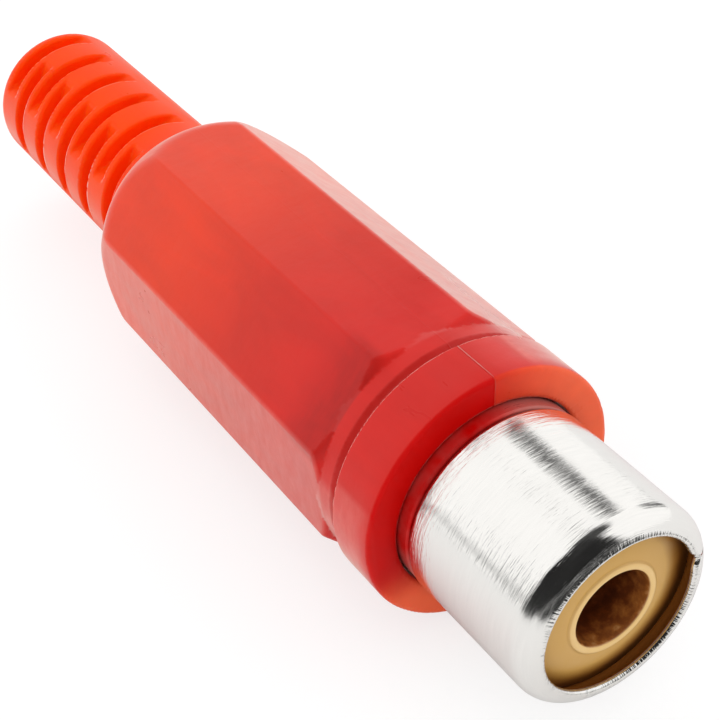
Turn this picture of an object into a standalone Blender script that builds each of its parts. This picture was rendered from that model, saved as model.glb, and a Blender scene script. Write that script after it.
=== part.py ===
"""In-line phono socket for a cable: a nickel-plated jack with a moulded red plastic handle.

The long axis of the connector runs along world +X, with the mating end at +X. It lies on its
collar and on one flat of its eight-sided handle, and the origin is under the middle of it.

Every piece is drawn in one local frame: local +Z is the long axis towards the mating end and
local +X is up. Sizes are millimetres. A place along the axis is a depth behind the mating rim.
"""
import math

import bmesh
import bpy

MM = 0.001

# Outer shell, rolled from nickel-plated steel sheet
SHELL_DIA = 8.3
SHELL_LENGTH = 6.8
SHELL_SHEET = 0.3
LIP_RADIUS = 0.9
SEAM_WIDTH = 0.1
SEAM_ANGLE = 280.0
SEAM_NOTCH = 0.45

# Running and fitting clearances
FIT_GAP = 0.12
THREAD_GAP = 0.12
COLLAR_STANDOFF = 0.6
COLLAR_BORE_GAP = 0.05

# Handle, outside
COLLAR_DIA = 11.0
COLLAR_LENGTH = 2.35
COLLAR_ROUND = 0.15
NECK_DIA = 10.5
NECK_LENGTH = 1.25
CHAMFER_SLOPE = 1.4
ACROSS_FLATS = 10.4
BODY_SIDES = 8
BODY_LENGTH = 17.5
SHOULDER_LENGTH = 3.1
SHOULDER_BULGE = 0.28
SHOULDER_START = -0.1

# Strain relief boot
BOOT_DIA = 7.0
BOOT_LENGTH = 13.4
BOOT_TIP_ROUND = 0.6
CABLE_BORE = 4.4
CABLE_FLARE = 0.35
SLOT_PITCH = 2.48
SLOT_WIDTH = 0.75
SLOT_FLOOR = 2.56
SLOT_FIRST = 0.95
SLOT_COUNT = 5
MOULD_ANGLE = 40.0
SLOT_ANGLE = 23.0

# Handle, inside
COLLAR_BORE_DEPTH = 0.95
THREAD_DIA = 7.7
THREAD_LENGTH = 4.9
HANDLE_CAVITY_DIA = 8.3
CAVITY_LENGTH = 13.4
CAVITY_CONE = 2.4

# Threaded bush, turned brass
BUSH_WALL = 0.83
FLANGE_DIA = 7.96
FLANGE_LENGTH = 1.05
SPIGOT_LENGTH = 2.2
RELIEF_DIA = 7.1
RELIEF_LENGTH = 0.5
BUSH_THREAD_LENGTH = 4.15
BUSH_CHAMFER = 0.25
RIVET_DIA = 5.5
RIVET_WALL = 0.5
RIVET_FLARE = 0.45
RIVET_FLARE_THICK = 0.35

# Insulators
PIN_HOLE = 3.24
RING_DEPTH = 0.42
RING_WIDTH = 0.32
RING_HEIGHT = 0.1
DISC_FALL = 0.36
FRONT_WALL = 2.1
SOCKET_BORE = 4.5
REAR_FLANGE_THICK = 0.4

# Centre contact
CONTACT_DIA = 4.0
CONTACT_WALL = 0.4
CONTACT_EDGE = 0.12
CONTACT_LENGTH = 7.9
TINE_LENGTH = 5.0
TINE_PINCH = 0.14
TINE_SLIT = 0.3
SLIT_COUNT = 2
TINE_ANGLE = 22.5
TAIL_DIA = 1.7
TAIL_LENGTH = 6.7
CUP_BORE = 1.1
CUP_DEPTH = 2.4
CUP_CUTAWAY = 2.0
CUP_RISE = 0.05

# Earth tag with cable clamp
TAG_SHEET = 0.3
TAG_RING_DIA = 7.4
TAG_ARM_WIDTH = 2.4
TAG_ARM_LENGTH = 7.6
TAG_ARM_RADIUS = 3.45
TAG_JOG = 1.3
TAG_BEND = 0.35
TAG_HOLE = 1.2
TAG_HOLE_FROM_RING = 5.2
CLAMP_RADIUS = 2.8
CLAMP_LENGTH = 3.6
CLAMP_ARM_RISE = 2.0

# How far a cutter runs past what it cuts, and how far joined sheets run into each other
CLEAR = 1.0
JOIN = 0.1

# Facets
HANDLE_STEPS = 64
JACK_STEPS = 48
SMALL_STEPS = 40
ARC_STEPS = 5
EDGE_STEPS = 3
SHOULDER_STEPS = 8
RING_STEPS = 8
DISC_STEPS = 7
CRADLE_STEPS = 16
SHARP_EDGE = 30.0

SHELL_R = SHELL_DIA / 2
SHELL_BORE_R = SHELL_R - SHELL_SHEET
MOUTH_R = SHELL_R - LIP_RADIUS
COLLAR_R = COLLAR_DIA / 2
NECK_R = NECK_DIA / 2
BOOT_R = BOOT_DIA / 2
BODY_CORNER_R = ACROSS_FLATS / 2 / math.cos(math.pi / BODY_SIDES)

COLLAR_FRONT = SHELL_LENGTH + COLLAR_STANDOFF
COLLAR_REAR = COLLAR_FRONT + COLLAR_LENGTH
NECK_REAR = COLLAR_REAR + NECK_LENGTH
BODY_REAR = NECK_REAR + BODY_LENGTH
BOOT_FRONT = BODY_REAR + SHOULDER_LENGTH
OVERALL_LENGTH = BOOT_FRONT + BOOT_LENGTH

SPIGOT_R = SHELL_BORE_R - FIT_GAP
BUSH_BORE_R = SPIGOT_R - BUSH_WALL
FLANGE_FRONT = SHELL_LENGTH + FIT_GAP
FLANGE_REAR = FLANGE_FRONT + FLANGE_LENGTH
BUSH_FRONT = SHELL_LENGTH - SPIGOT_LENGTH
THREAD_FRONT = FLANGE_REAR + RELIEF_LENGTH
THREAD_REAR = THREAD_FRONT + BUSH_THREAD_LENGTH
RIVET_R = RIVET_DIA / 2
RIVET_BORE_R = RIVET_R - RIVET_WALL

CONTACT_FRONT = RING_DEPTH + FRONT_WALL + 3 * FIT_GAP
CONTACT_SHOULDER = CONTACT_FRONT + CONTACT_LENGTH
TAIL_END = CONTACT_SHOULDER + TAIL_LENGTH
REAR_SEAT = CONTACT_SHOULDER + FIT_GAP
TAG_FRONT = THREAD_REAR + FIT_GAP


def clear_scene():
    """Removes every object, mesh, curve and material of the open file."""
    for item in list(bpy.data.objects):
        bpy.data.objects.remove(item, do_unlink=True)
    for block in (bpy.data.meshes, bpy.data.curves, bpy.data.materials):
        for item in list(block):
            block.remove(item)


def make_material(name, colour, roughness, metallic):
    """A Principled material with a linear colour."""
    material = bpy.data.materials.new(name)
    material.use_nodes = True
    shader = material.node_tree.nodes["Principled BSDF"]
    shader.inputs["Base Color"].default_value = (*colour, 1.0)
    shader.inputs["Roughness"].default_value = roughness
    shader.inputs["Metallic"].default_value = metallic
    return material


def axial(depth):
    """Local Z in metres of a place that lies at a depth behind the mating rim."""
    return (OVERALL_LENGTH / 2 - depth) * MM


def arc(centre_r, centre_depth, radius, start_deg, end_deg, steps=ARC_STEPS):
    """Points (radius, depth) of an arc; 0 degrees points outwards and 90 towards the mating end."""
    points = []
    for i in range(steps + 1):
        angle = math.radians(start_deg + (end_deg - start_deg) * i / steps)
        points.append((centre_r + radius * math.cos(angle), centre_depth - radius * math.sin(angle)))
    return points


def add_object(name, mesh, group, carrier, material=None):
    """Links a mesh to a collection and hangs it on the empty that carries it."""
    item = bpy.data.objects.new(name, mesh)
    group.objects.link(item)
    item.parent = carrier
    if material:
        mesh.materials.append(material)
    return item


def mark_as_cutter(item):
    """A cutter shapes another piece and isn't part of the model itself."""
    item.hide_render = True
    item.display_type = "WIRE"
    return item


def turned(name, outline, group, carrier, material=None, closed=True, steps=JACK_STEPS):
    """A turned piece: (radius, depth) points that run down the outer side, front to rear."""
    mesh = bpy.data.meshes.new(name)
    points = [(r * MM, 0.0, axial(depth)) for r, depth in outline]
    edges = [(i, i + 1) for i in range(len(points) - 1)]
    if closed:
        edges.append((len(points) - 1, 0))
    mesh.from_pydata(points, edges, [])
    item = add_object(name, mesh, group, carrier, material)
    screw = item.modifiers.new("turn", "SCREW")
    screw.axis = "Z"
    screw.steps = steps
    screw.render_steps = steps
    screw.use_merge_vertices = True
    screw.merge_threshold = 0.000001
    return item


def slab(name, size, centre, turn_deg, group, carrier):
    """A box of a size in mm, set off from the long axis and then turned about it."""
    mesh = bpy.data.meshes.new(name)
    work = bmesh.new()
    bmesh.ops.create_cube(work, size=1.0)
    for vertex in work.verts:
        vertex.co = [c * s * MM for c, s in zip(vertex.co, size)]
    work.to_mesh(mesh)
    work.free()
    item = add_object(name, mesh, group, carrier)
    turn = math.radians(turn_deg)
    x, y, depth = centre
    item.rotation_euler = (0.0, 0.0, turn)
    item.location = ((x * math.cos(turn) - y * math.sin(turn)) * MM,
                     (x * math.sin(turn) + y * math.cos(turn)) * MM, axial(depth))
    return item


def prism(name, sides, corner_radius, front, rear, group, carrier, material=None):
    """A straight prism along the long axis, with one flat square to local +X."""
    mesh = bpy.data.meshes.new(name)
    work = bmesh.new()
    bmesh.ops.create_cone(work, cap_ends=True, segments=sides, radius1=corner_radius * MM,
                          radius2=corner_radius * MM, depth=(rear - front) * MM)
    work.to_mesh(mesh)
    work.free()
    item = add_object(name, mesh, group, carrier, material)
    item.rotation_euler = (0.0, 0.0, math.pi / sides)
    item.location = (0.0, 0.0, axial((front + rear) / 2))
    return item


def strip(name, path, width, across, sheet, group, carrier, material=None):
    """Bent sheet metal: a path of points carried along one direction and given its thickness."""
    mesh = bpy.data.meshes.new(name)
    points = []
    for point in path:
        for side in (-0.5, 0.5):
            points.append([(p + side * width * a) * MM for p, a in zip(point, across)])
    faces = [(2 * i, 2 * i + 1, 2 * i + 3, 2 * i + 2) for i in range(len(path) - 1)]
    mesh.from_pydata(points, [], faces)
    item = add_object(name, mesh, group, carrier, material)
    item.location = (0.0, 0.0, axial(0.0))
    wall = item.modifiers.new("sheet", "SOLIDIFY")
    wall.thickness = sheet * MM
    wall.offset = 0.0
    wall.use_even_offset = True
    return item


def combine(item, other, operation):
    """Adds a Boolean modifier that joins, cuts or intersects with another object."""
    boolean = item.modifiers.new(operation.lower(), "BOOLEAN")
    boolean.operation = operation
    boolean.solver = "EXACT"
    boolean.object = other
    if not other.hide_render:
        mark_as_cutter(other)


def finish(item):
    """Applies the piece's modifiers, then shades its rounds smooth and keeps its edges sharp."""
    depsgraph = bpy.context.evaluated_depsgraph_get()
    mesh = bpy.data.meshes.new_from_object(item.evaluated_get(depsgraph))
    mesh.name = item.name
    item.modifiers.clear()
    item.data = mesh
    mesh.shade_smooth()
    mesh.set_sharp_from_angle(angle=math.radians(SHARP_EDGE))


def shoulder_radius(t):
    """Radius of the domed rear shoulder: 0 is where the corners end and 1 is the foot of the boot."""
    return BODY_CORNER_R + (BOOT_R - BODY_CORNER_R) * t + 4 * SHOULDER_BULGE * t * (1 - t)


def slot_cutters(group, carrier):
    """Slots of the boot. Each mould half forms two staggered rows, one to each side of its middle."""
    reach = BOOT_R + CLEAR
    depth_of_cut = reach - SLOT_FLOOR
    cutters = []
    for half in (0.0, 180.0):
        for row, side in enumerate((1, -1)):
            for i in range(SLOT_COUNT):
                depth = BOOT_FRONT + SLOT_FIRST + (i + row / 2) * SLOT_PITCH
                cutter = slab(f"slot_{half:.0f}_{row}_{i}", (depth_of_cut, 2 * reach, SLOT_WIDTH),
                              (SLOT_FLOOR + depth_of_cut / 2, 0.0, depth),
                              half + MOULD_ANGLE + side * SLOT_ANGLE, group, carrier)
                cutters.append(mark_as_cutter(cutter))
    return cutters


def handle_outline():
    """Outer form and bore of the handle as one turned outline, before its flats are cut."""
    edge_r, edge_depth = COLLAR_R - COLLAR_ROUND, COLLAR_FRONT + COLLAR_ROUND
    outline = list(reversed(arc(edge_r, edge_depth, COLLAR_ROUND, 0.0, 90.0, EDGE_STEPS)))
    grip_r = shoulder_radius(SHOULDER_START)
    outline += [(COLLAR_R, COLLAR_REAR), (NECK_R, COLLAR_REAR), (NECK_R, NECK_REAR),
                (grip_r, NECK_REAR + (grip_r - NECK_R) / CHAMFER_SLOPE)]
    for i in range(SHOULDER_STEPS + 1):
        t = SHOULDER_START + (1 - SHOULDER_START) * i / SHOULDER_STEPS
        outline.append((shoulder_radius(t), BODY_REAR + SHOULDER_LENGTH * t))
    outline += arc(BOOT_R - BOOT_TIP_ROUND, OVERALL_LENGTH - BOOT_TIP_ROUND, BOOT_TIP_ROUND, 0.0, -90.0)

    thread_front = COLLAR_FRONT + COLLAR_BORE_DEPTH
    thread_rear = thread_front + THREAD_LENGTH
    cavity_rear = thread_rear + CAVITY_LENGTH
    cable_r = CABLE_BORE / 2
    outline += [(cable_r + CABLE_FLARE, OVERALL_LENGTH), (cable_r, OVERALL_LENGTH - 2 * CABLE_FLARE),
                (cable_r, cavity_rear + CAVITY_CONE), (HANDLE_CAVITY_DIA / 2, cavity_rear),
                (HANDLE_CAVITY_DIA / 2, thread_rear), (THREAD_DIA / 2 + THREAD_GAP, thread_rear),
                (THREAD_DIA / 2 + THREAD_GAP, thread_front), (SHELL_R + COLLAR_BORE_GAP, thread_front),
                (SHELL_R + COLLAR_BORE_GAP, COLLAR_FRONT)]
    return outline


def build_handle(parts, cutters, carrier, material):
    """The handle: collar, neck, eight-sided grip and slotted boot, moulded as one piece."""
    handle = turned("handle", handle_outline(), parts, carrier, material, steps=HANDLE_STEPS)
    flat_r = ACROSS_FLATS / 2
    cut = shoulder_radius(SHOULDER_START) - flat_r + CLEAR
    flat_length = BOOT_FRONT - NECK_REAR
    for i in range(BODY_SIDES):
        flat = slab(f"flat_{i}", (cut, ACROSS_FLATS / 2, flat_length),
                    (flat_r + cut / 2, 0.0, NECK_REAR + flat_length / 2), i * 360.0 / BODY_SIDES,
                    cutters, carrier)
        combine(handle, flat, "DIFFERENCE")
    for cutter in slot_cutters(cutters, carrier):
        combine(handle, cutter, "DIFFERENCE")
    return handle


def build_shell(parts, cutters, carrier, material):
    """The outer contact: a sheet tube with its lip turned in and a seam where the sheet meets."""
    outline = list(reversed(arc(MOUTH_R, LIP_RADIUS, LIP_RADIUS, 0.0, 90.0, 8)))
    outline += [(SHELL_R, SHELL_LENGTH), (SHELL_BORE_R, SHELL_LENGTH)]
    outline += arc(MOUTH_R, LIP_RADIUS, LIP_RADIUS - SHELL_SHEET, 0.0, 90.0, 8)
    shell = turned("shell", outline, parts, carrier, material)
    seam = slab("seam", (SHELL_R, SEAM_WIDTH, SHELL_LENGTH + 2 * CLEAR), (SHELL_R, 0.0, SHELL_LENGTH / 2),
                SEAM_ANGLE, cutters, carrier)
    combine(shell, seam, "DIFFERENCE")
    notch = slab("seam_notch", (SEAM_NOTCH, SEAM_NOTCH, 2 * SEAM_NOTCH),
                 (MOUTH_R, 0.0, 0.0), SEAM_ANGLE, cutters, carrier)
    combine(shell, notch, "DIFFERENCE")
    return shell


def build_bush(parts, carrier, material):
    """The turned bush: spigot in the shell, flange, threaded barrel and a riveted rear edge."""
    thread_r = THREAD_DIA / 2
    flare_front = TAG_FRONT + TAG_SHEET + FIT_GAP
    outline = [(SPIGOT_R, BUSH_FRONT), (SPIGOT_R, FLANGE_FRONT), (FLANGE_DIA / 2, FLANGE_FRONT),
               (FLANGE_DIA / 2, FLANGE_REAR), (RELIEF_DIA / 2, FLANGE_REAR),
               (RELIEF_DIA / 2, THREAD_FRONT - BUSH_CHAMFER), (thread_r, THREAD_FRONT),
               (thread_r, THREAD_REAR - BUSH_CHAMFER), (thread_r - BUSH_CHAMFER, THREAD_REAR),
               (RIVET_R, THREAD_REAR), (RIVET_R, flare_front), (RIVET_R + RIVET_FLARE, flare_front),
               (RIVET_R + RIVET_FLARE, flare_front + RIVET_FLARE_THICK),
               (RIVET_BORE_R, flare_front + RIVET_FLARE_THICK)]
    step = REAR_SEAT + REAR_FLANGE_THICK + FIT_GAP
    outline += [(RIVET_BORE_R, step), (BUSH_BORE_R, step), (BUSH_BORE_R, BUSH_FRONT)]
    return turned("threaded_bush", outline, parts, carrier, material)


def build_front_insulator(parts, carrier, material):
    """The mating face: a rounded ring at the pin hole on a disc that falls away to the shell."""
    hole_r = PIN_HOLE / 2
    outer_r = SPIGOT_R
    spigot_r = BUSH_BORE_R - FIT_GAP
    outline = []
    for i in range(RING_STEPS + 1):
        t = i / RING_STEPS
        radius = hole_r + RING_WIDTH * t
        rise = RING_HEIGHT * math.sqrt(max(0.0, 1 - (2 * t - 1) ** 2))
        outline.append((radius, RING_DEPTH + RING_HEIGHT - rise))
    ring_foot = hole_r + RING_WIDTH
    for i in range(1, DISC_STEPS + 1):
        t = i / DISC_STEPS
        radius = ring_foot + (outer_r - ring_foot) * t
        outline.append((radius, RING_DEPTH + RING_HEIGHT + DISC_FALL * t ** 1.8))
    rear = BUSH_FRONT - FIT_GAP
    outline += [(outer_r, rear), (spigot_r, rear), (spigot_r, rear + SPIGOT_LENGTH),
                (SOCKET_BORE / 2, rear + SPIGOT_LENGTH), (SOCKET_BORE / 2, RING_DEPTH + FRONT_WALL),
                (hole_r, RING_DEPTH + FRONT_WALL)]
    return turned("front_insulator", outline, parts, carrier, material)


def build_rear_insulator(parts, carrier, material):
    """The flanged washer that centres the tail of the contact in the bush."""
    flange_r = BUSH_BORE_R - FIT_GAP
    body_r = RIVET_BORE_R - FIT_GAP
    hole_r = TAIL_DIA / 2 + FIT_GAP
    rear = TAG_FRONT + TAG_SHEET + FIT_GAP + RIVET_FLARE_THICK
    outline = [(flange_r, REAR_SEAT), (flange_r, REAR_SEAT + REAR_FLANGE_THICK),
               (body_r, REAR_SEAT + REAR_FLANGE_THICK), (body_r, rear), (hole_r, rear), (hole_r, REAR_SEAT)]
    return turned("rear_insulator", outline, parts, carrier, material, steps=SMALL_STEPS)


def build_contact(parts, cutters, carrier, material):
    """The centre contact: a slit tube whose tines pinch inwards, a tail and a solder cup."""
    outer_r = CONTACT_DIA / 2
    bore_r = outer_r - CONTACT_WALL
    tine_rear = CONTACT_FRONT + TINE_LENGTH
    bore_rear = CONTACT_SHOULDER - 2 * CONTACT_WALL
    inner_tip, outer_tip = bore_r - TINE_PINCH, outer_r - TINE_PINCH
    edge_rear = CONTACT_FRONT + CONTACT_EDGE
    outline = [(0.0, bore_rear), (bore_r, bore_rear), (bore_r, tine_rear), (inner_tip, edge_rear),
               (inner_tip + CONTACT_EDGE, CONTACT_FRONT), (outer_tip - CONTACT_EDGE, CONTACT_FRONT),
               (outer_tip, edge_rear), (outer_r, tine_rear), (outer_r, CONTACT_SHOULDER),
               (TAIL_DIA / 2, CONTACT_SHOULDER),
               (TAIL_DIA / 2, TAIL_END), (CUP_BORE / 2, TAIL_END), (CUP_BORE / 2, TAIL_END - CUP_DEPTH),
               (0.0, TAIL_END - CUP_DEPTH)]
    contact = turned("centre_contact", outline, parts, carrier, material, closed=False, steps=SMALL_STEPS)
    slit_length = TINE_LENGTH + 2 * CLEAR
    for i in range(SLIT_COUNT):
        slit = slab(f"tine_slit_{i}", (CONTACT_DIA + CLEAR, TINE_SLIT, slit_length),
                    (0.0, 0.0, tine_rear - slit_length / 2), TINE_ANGLE + i * 180.0 / SLIT_COUNT,
                    cutters, carrier)
        combine(contact, slit, "DIFFERENCE")
    cutaway = slab("cup_cutaway", (TAIL_DIA, TAIL_DIA + CLEAR, 2 * CUP_CUTAWAY),
                   (TAIL_DIA / 2 + CUP_RISE, 0.0, TAIL_END), 0.0, cutters, carrier)
    combine(contact, cutaway, "DIFFERENCE")
    return contact


def build_earth_tag(parts, cutters, carrier, material):
    """The earth tag: a ring riveted to the bush, an arm with a solder hole and a cable clamp."""
    middle = TAG_FRONT + TAG_SHEET / 2
    arm_end = TAG_FRONT + TAG_ARM_LENGTH
    clamp_front = arm_end + TAG_JOG
    ring = [(TAG_RING_DIA / 2, TAG_FRONT), (TAG_RING_DIA / 2, TAG_FRONT + TAG_SHEET),
            (RIVET_R + FIT_GAP, TAG_FRONT + TAG_SHEET), (RIVET_R + FIT_GAP, TAG_FRONT)]
    tag = turned("earth_tag", ring, parts, carrier, material)

    bend_centre = (TAG_ARM_RADIUS - TAG_BEND, middle + TAG_BEND)
    path = [(-(TAG_ARM_RADIUS - TAG_BEND) + JOIN, 0.0, -middle)]
    for i in range(ARC_STEPS + 1):
        angle = math.radians(90.0 * i / ARC_STEPS)
        path.append((-(bend_centre[0] + TAG_BEND * math.sin(angle)), 0.0,
                     -(bend_centre[1] - TAG_BEND * math.cos(angle))))
    under_clamp = CLAMP_RADIUS + JOIN / 3
    path += [(-TAG_ARM_RADIUS, 0.0, -arm_end), (-under_clamp, 0.0, -clamp_front),
             (-under_clamp, 0.0, -(clamp_front + CLAMP_LENGTH - 2 * JOIN))]
    arm = strip("tag_arm", path, TAG_ARM_WIDTH, (0, 1, 0), TAG_SHEET, cutters, carrier)
    combine(tag, arm, "UNION")

    clamp_middle = -(clamp_front + CLAMP_LENGTH / 2)
    cradle = [(CLAMP_ARM_RISE, -CLAMP_RADIUS, clamp_middle)]
    for i in range(CRADLE_STEPS + 1):
        angle = math.radians(90.0 + 180.0 * i / CRADLE_STEPS)
        cradle.append((CLAMP_RADIUS * math.cos(angle), -CLAMP_RADIUS * math.sin(angle), clamp_middle))
    cradle.append((CLAMP_ARM_RISE, CLAMP_RADIUS, clamp_middle))
    clamp = strip("cable_clamp", cradle, CLAMP_LENGTH, (0, 0, 1), TAG_SHEET, cutters, carrier)
    combine(tag, clamp, "UNION")

    hole = prism("tag_hole", SMALL_STEPS // 2, TAG_HOLE / 2, -CLEAR, CLEAR, cutters, carrier)
    hole.rotation_euler = (0.0, math.pi / 2, 0.0)
    hole.location = (-TAG_ARM_RADIUS * MM, 0.0, axial(TAG_FRONT + TAG_HOLE_FROM_RING))
    combine(tag, mark_as_cutter(hole), "DIFFERENCE")
    return tag


def build_connector():
    """Builds every piece on the axis that carries it."""
    clear_scene()
    parts = bpy.data.collections.new("phono_socket")
    cutters = bpy.data.collections.new("cutters")
    for group in (parts, cutters):
        bpy.context.scene.collection.children.link(group)

    carriers = []
    for name in ("jack_axis", "handle_axis"):
        empty = bpy.data.objects.new(name, None)
        empty.location = (0.0, 0.0, COLLAR_R * MM)
        empty.rotation_euler = (math.pi, -math.pi / 2, 0.0)
        parts.objects.link(empty)
        carriers.append(empty)
    jack_axis, handle_axis = carriers

    red_plastic = make_material("red_moulded_plastic", (0.72, 0.045, 0.02), 0.38, 0.0)
    nickel = make_material("nickel_plate", (0.86, 0.85, 0.82), 0.18, 1.0)
    bush_nickel = make_material("turned_nickel_plate", (0.8, 0.79, 0.76), 0.28, 1.0)
    phenolic = make_material("tan_phenolic", (0.58, 0.34, 0.12), 0.45, 0.0)
    fibre = make_material("brown_fibre", (0.22, 0.09, 0.03), 0.6, 0.0)
    brass = make_material("bare_brass", (0.75, 0.5, 0.2), 0.3, 1.0)
    tin = make_material("tinned_steel", (0.72, 0.72, 0.7), 0.35, 1.0)

    pieces = [build_handle(parts, cutters, handle_axis, red_plastic),
              build_shell(parts, cutters, jack_axis, nickel),
              build_bush(parts, jack_axis, bush_nickel),
              build_front_insulator(parts, jack_axis, phenolic),
              build_rear_insulator(parts, jack_axis, fibre),
              build_contact(parts, cutters, jack_axis, brass),
              build_earth_tag(parts, cutters, jack_axis, tin)]
    bpy.context.view_layer.update()
    for piece in pieces:
        finish(piece)


build_connector()
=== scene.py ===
import math

import bpy
import numpy as np
from bpy.props import FloatProperty, FloatVectorProperty, PointerProperty
from mathutils import Matrix


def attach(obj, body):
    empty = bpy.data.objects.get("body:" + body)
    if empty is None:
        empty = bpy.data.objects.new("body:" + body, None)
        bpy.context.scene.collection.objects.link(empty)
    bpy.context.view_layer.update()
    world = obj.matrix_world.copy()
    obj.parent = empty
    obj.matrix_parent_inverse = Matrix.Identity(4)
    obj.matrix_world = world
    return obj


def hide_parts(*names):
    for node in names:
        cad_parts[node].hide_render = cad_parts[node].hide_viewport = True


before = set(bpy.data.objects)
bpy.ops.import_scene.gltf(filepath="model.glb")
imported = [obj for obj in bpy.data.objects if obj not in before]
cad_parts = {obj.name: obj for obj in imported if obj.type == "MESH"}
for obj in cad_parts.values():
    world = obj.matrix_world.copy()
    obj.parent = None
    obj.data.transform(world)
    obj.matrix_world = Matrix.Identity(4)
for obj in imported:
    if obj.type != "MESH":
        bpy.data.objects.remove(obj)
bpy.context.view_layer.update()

bl_info = {
    "name": "In-line phono socket",
    "version": (1, 0, 0),
    "blender": (4, 5, 0),
    "location": "3D View > Sidebar > Phono socket",
    "description": "Dresses the solids of an in-line phono socket with its finished surfaces and materials",
    "category": "Object",
}

MM = 0.001

# User sizes and colours


def linear(hex_value):
    """Linear RGBA of an sRGB hex colour."""
    channels = [int(hex_value[i:i + 2], 16) / 255 for i in (1, 3, 5)]
    return tuple(c / 12.92 if c <= 0.04045 else ((c + 0.055) / 1.055) ** 2.4 for c in channels) + (1.0,)


def length(name, description, millimetres):
    """A length that the user can change, kept in metres."""
    return FloatProperty(name=name, description=description, default=millimetres * MM,
                         min=0.0, unit="LENGTH", precision=5)


def colour(name, description, hex_value):
    """A colour that the user can change, written as sRGB hex and kept linear."""
    return FloatVectorProperty(name=name, description=description, default=linear(hex_value), size=4,
                               min=0.0, max=1.0, subtype="COLOR")


class HandleSizes(bpy.types.PropertyGroup):
    """Sizes of the moulded handle."""
    collar_dia: length("Collar diameter", "Outside diameter of the front collar", 11.0)
    collar_front: length("Collar front", "Depth of the collar's front face behind the mating rim", 7.4)
    collar_length: length("Collar length", "Length of the collar along the axis", 2.35)
    collar_round: length("Collar round", "Radius of the collar's front edge", 0.15)
    neck_dia: length("Neck diameter", "Diameter of the round neck behind the collar", 10.5)
    neck_length: length("Neck length", "Length of the neck along the axis", 1.25)
    groove_depth: length("Neck groove", "Depth of the shallow groove behind the collar", 0.1)
    across_flats: length("Across flats", "Width of the eight-sided grip across two flats", 10.4)
    body_length: length("Grip length", "Length of the grip from the neck to the shoulder", 17.5)
    shoulder_length: length("Shoulder length", "Length of the domed rear shoulder", 3.1)
    shoulder_bulge: length("Shoulder bulge", "How far the dome stands out from a straight cone", 0.28)
    grip_round: length("Grip edge round", "Radius along the edges between the flats", 0.06)
    boot_dia: length("Boot diameter", "Outside diameter of the strain relief boot", 7.0)
    boot_tip_round: length("Boot tip round", "Radius of the boot's rear edge", 0.6)
    cable_bore: length("Cable bore", "Diameter of the hole that the cable enters by", 4.4)
    slot_pitch: length("Slot pitch", "Distance from one slot to the next in a row", 2.48)
    slot_width: length("Slot width", "Width of a slot along the axis", 0.75)
    slot_floor: length("Slot floor", "Distance from the axis to the flat floor of a slot", 2.56)
    slot_first: length("First slot", "Distance from the foot of the boot to the first slot", 0.95)
    slot_round: length("Slot edge round", "Radius along the edges of the slots", 0.12)


class JackSizes(bpy.types.PropertyGroup):
    """Sizes of the metal jack and its insulators."""
    shell_dia: length("Shell diameter", "Outside diameter of the outer contact", 8.3)
    shell_length: length("Shell length", "Length of the outer contact", 6.8)
    shell_sheet: length("Shell sheet", "Thickness of the shell's sheet", 0.3)
    flare: length("Rear flare", "How far the shell's rear edge is flared out", 0.02)
    lip_radius: length("Lip radius", "Radius of the lip that is turned in", 0.9)
    seam_width: length("Seam width", "Width of the gap where the sheet meets", 0.1)
    pin_hole: length("Pin hole", "Diameter of the hole for the plug's pin", 3.24)
    ring_depth: length("Ring depth", "Depth of the raised ring behind the mating rim", 0.42)
    ring_width: length("Ring width", "Width of the raised ring at the pin hole", 0.32)
    ring_height: length("Ring height", "Height of the raised ring over the disc", 0.1)
    disc_fall: length("Disc fall", "How far the disc falls away towards the shell", 0.36)
    thread_dia: length("Thread diameter", "Outside diameter of the bush's thread", 7.7)
    thread_depth: length("Thread depth", "Height of the thread from root to crest", 0.42)


class Colours(bpy.types.PropertyGroup):
    """Colours of the finishes."""
    # the orange boot is a painted glow of light through its thin rings, and the deeper reds towards the
    # collar are painted shade
    boot_red: colour("Boot", "Colour of the moulded plastic at the thin boot", "#FF4602")
    grip_red: colour("Grip", "Colour of the moulded plastic at the grip", "#E43402")
    collar_red: colour("Collar", "Colour of the moulded plastic at the collar", "#D2180E")
    # the pale colour is a painted highlight on the collar's rear edge and a painted sheen on two flats
    painted_highlight_red: colour("Worn edge", "Colour of the collar's rear edge where handling whitened it", "#FFA79A")
    # the collar face's shaded colour is painted shade, and its rim colour is a painted glow
    shaded_face_red: colour("Collar face", "Colour of the collar's front face on its shaded side", "#CC0402")
    glow_red: colour("Collar rim", "Colour of the collar's front face where light comes through", "#FF6A42")
    nickel: colour("Nickel plate", "Colour of the bright plated shell", "#FCFAF6")
    bush: colour("Turned nickel", "Colour of the plated bush", "#CFC9C0")
    # the flange's red brown is a painted reflection of the red collar
    flange: colour("Tarnished flange", "Colour of the bush's flange beside the collar", "#BE6A62")
    phenolic: colour("Tan phenolic", "Colour of the insulating disc", "#D6A654")
    # the pale ring colour is a painted highlight
    ring_highlight: colour("Worn phenolic", "Colour of the raised ring at the pin hole", "#F2C982")
    fibre: colour("Brown fibre", "Colour of the rear washer", "#6B4226")
    brass: colour("Bare brass", "Colour of the centre contact", "#C8A25A")
    tin: colour("Tinned steel", "Colour of the earth tag", "#CBC9C4")


class StageSettings(bpy.types.PropertyGroup):
    """Camera and floor."""
    focal_length: FloatProperty(name="Focal length", description="Focal length on a 36 mm sensor",
                                default=80.0, unit="CAMERA")
    floor_colour: colour("Floor", "Colour of the floor and the background", "#FFFFFF")


# Places

# Lengths are in millimetres and angles in degrees from straight up towards the camera's side.
# A depth is measured along the axis from the mating rim.

# Height of the axis over the floor, and the length of the whole socket
AXIS_Z = 5.5
OVERALL = 45.0

# Middle of the near half of the mould, a row of slots off it, and the slots in a row
MOULD_ANGLE = 40.0
SLOT_ANGLE = 23.0
SLOT_COUNT = 5

# The mould's parting plane, and the seam where the shell's sheet meets
PARTING_ANGLE = -4.0
SEAM_ANGLE = 280.0

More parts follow.
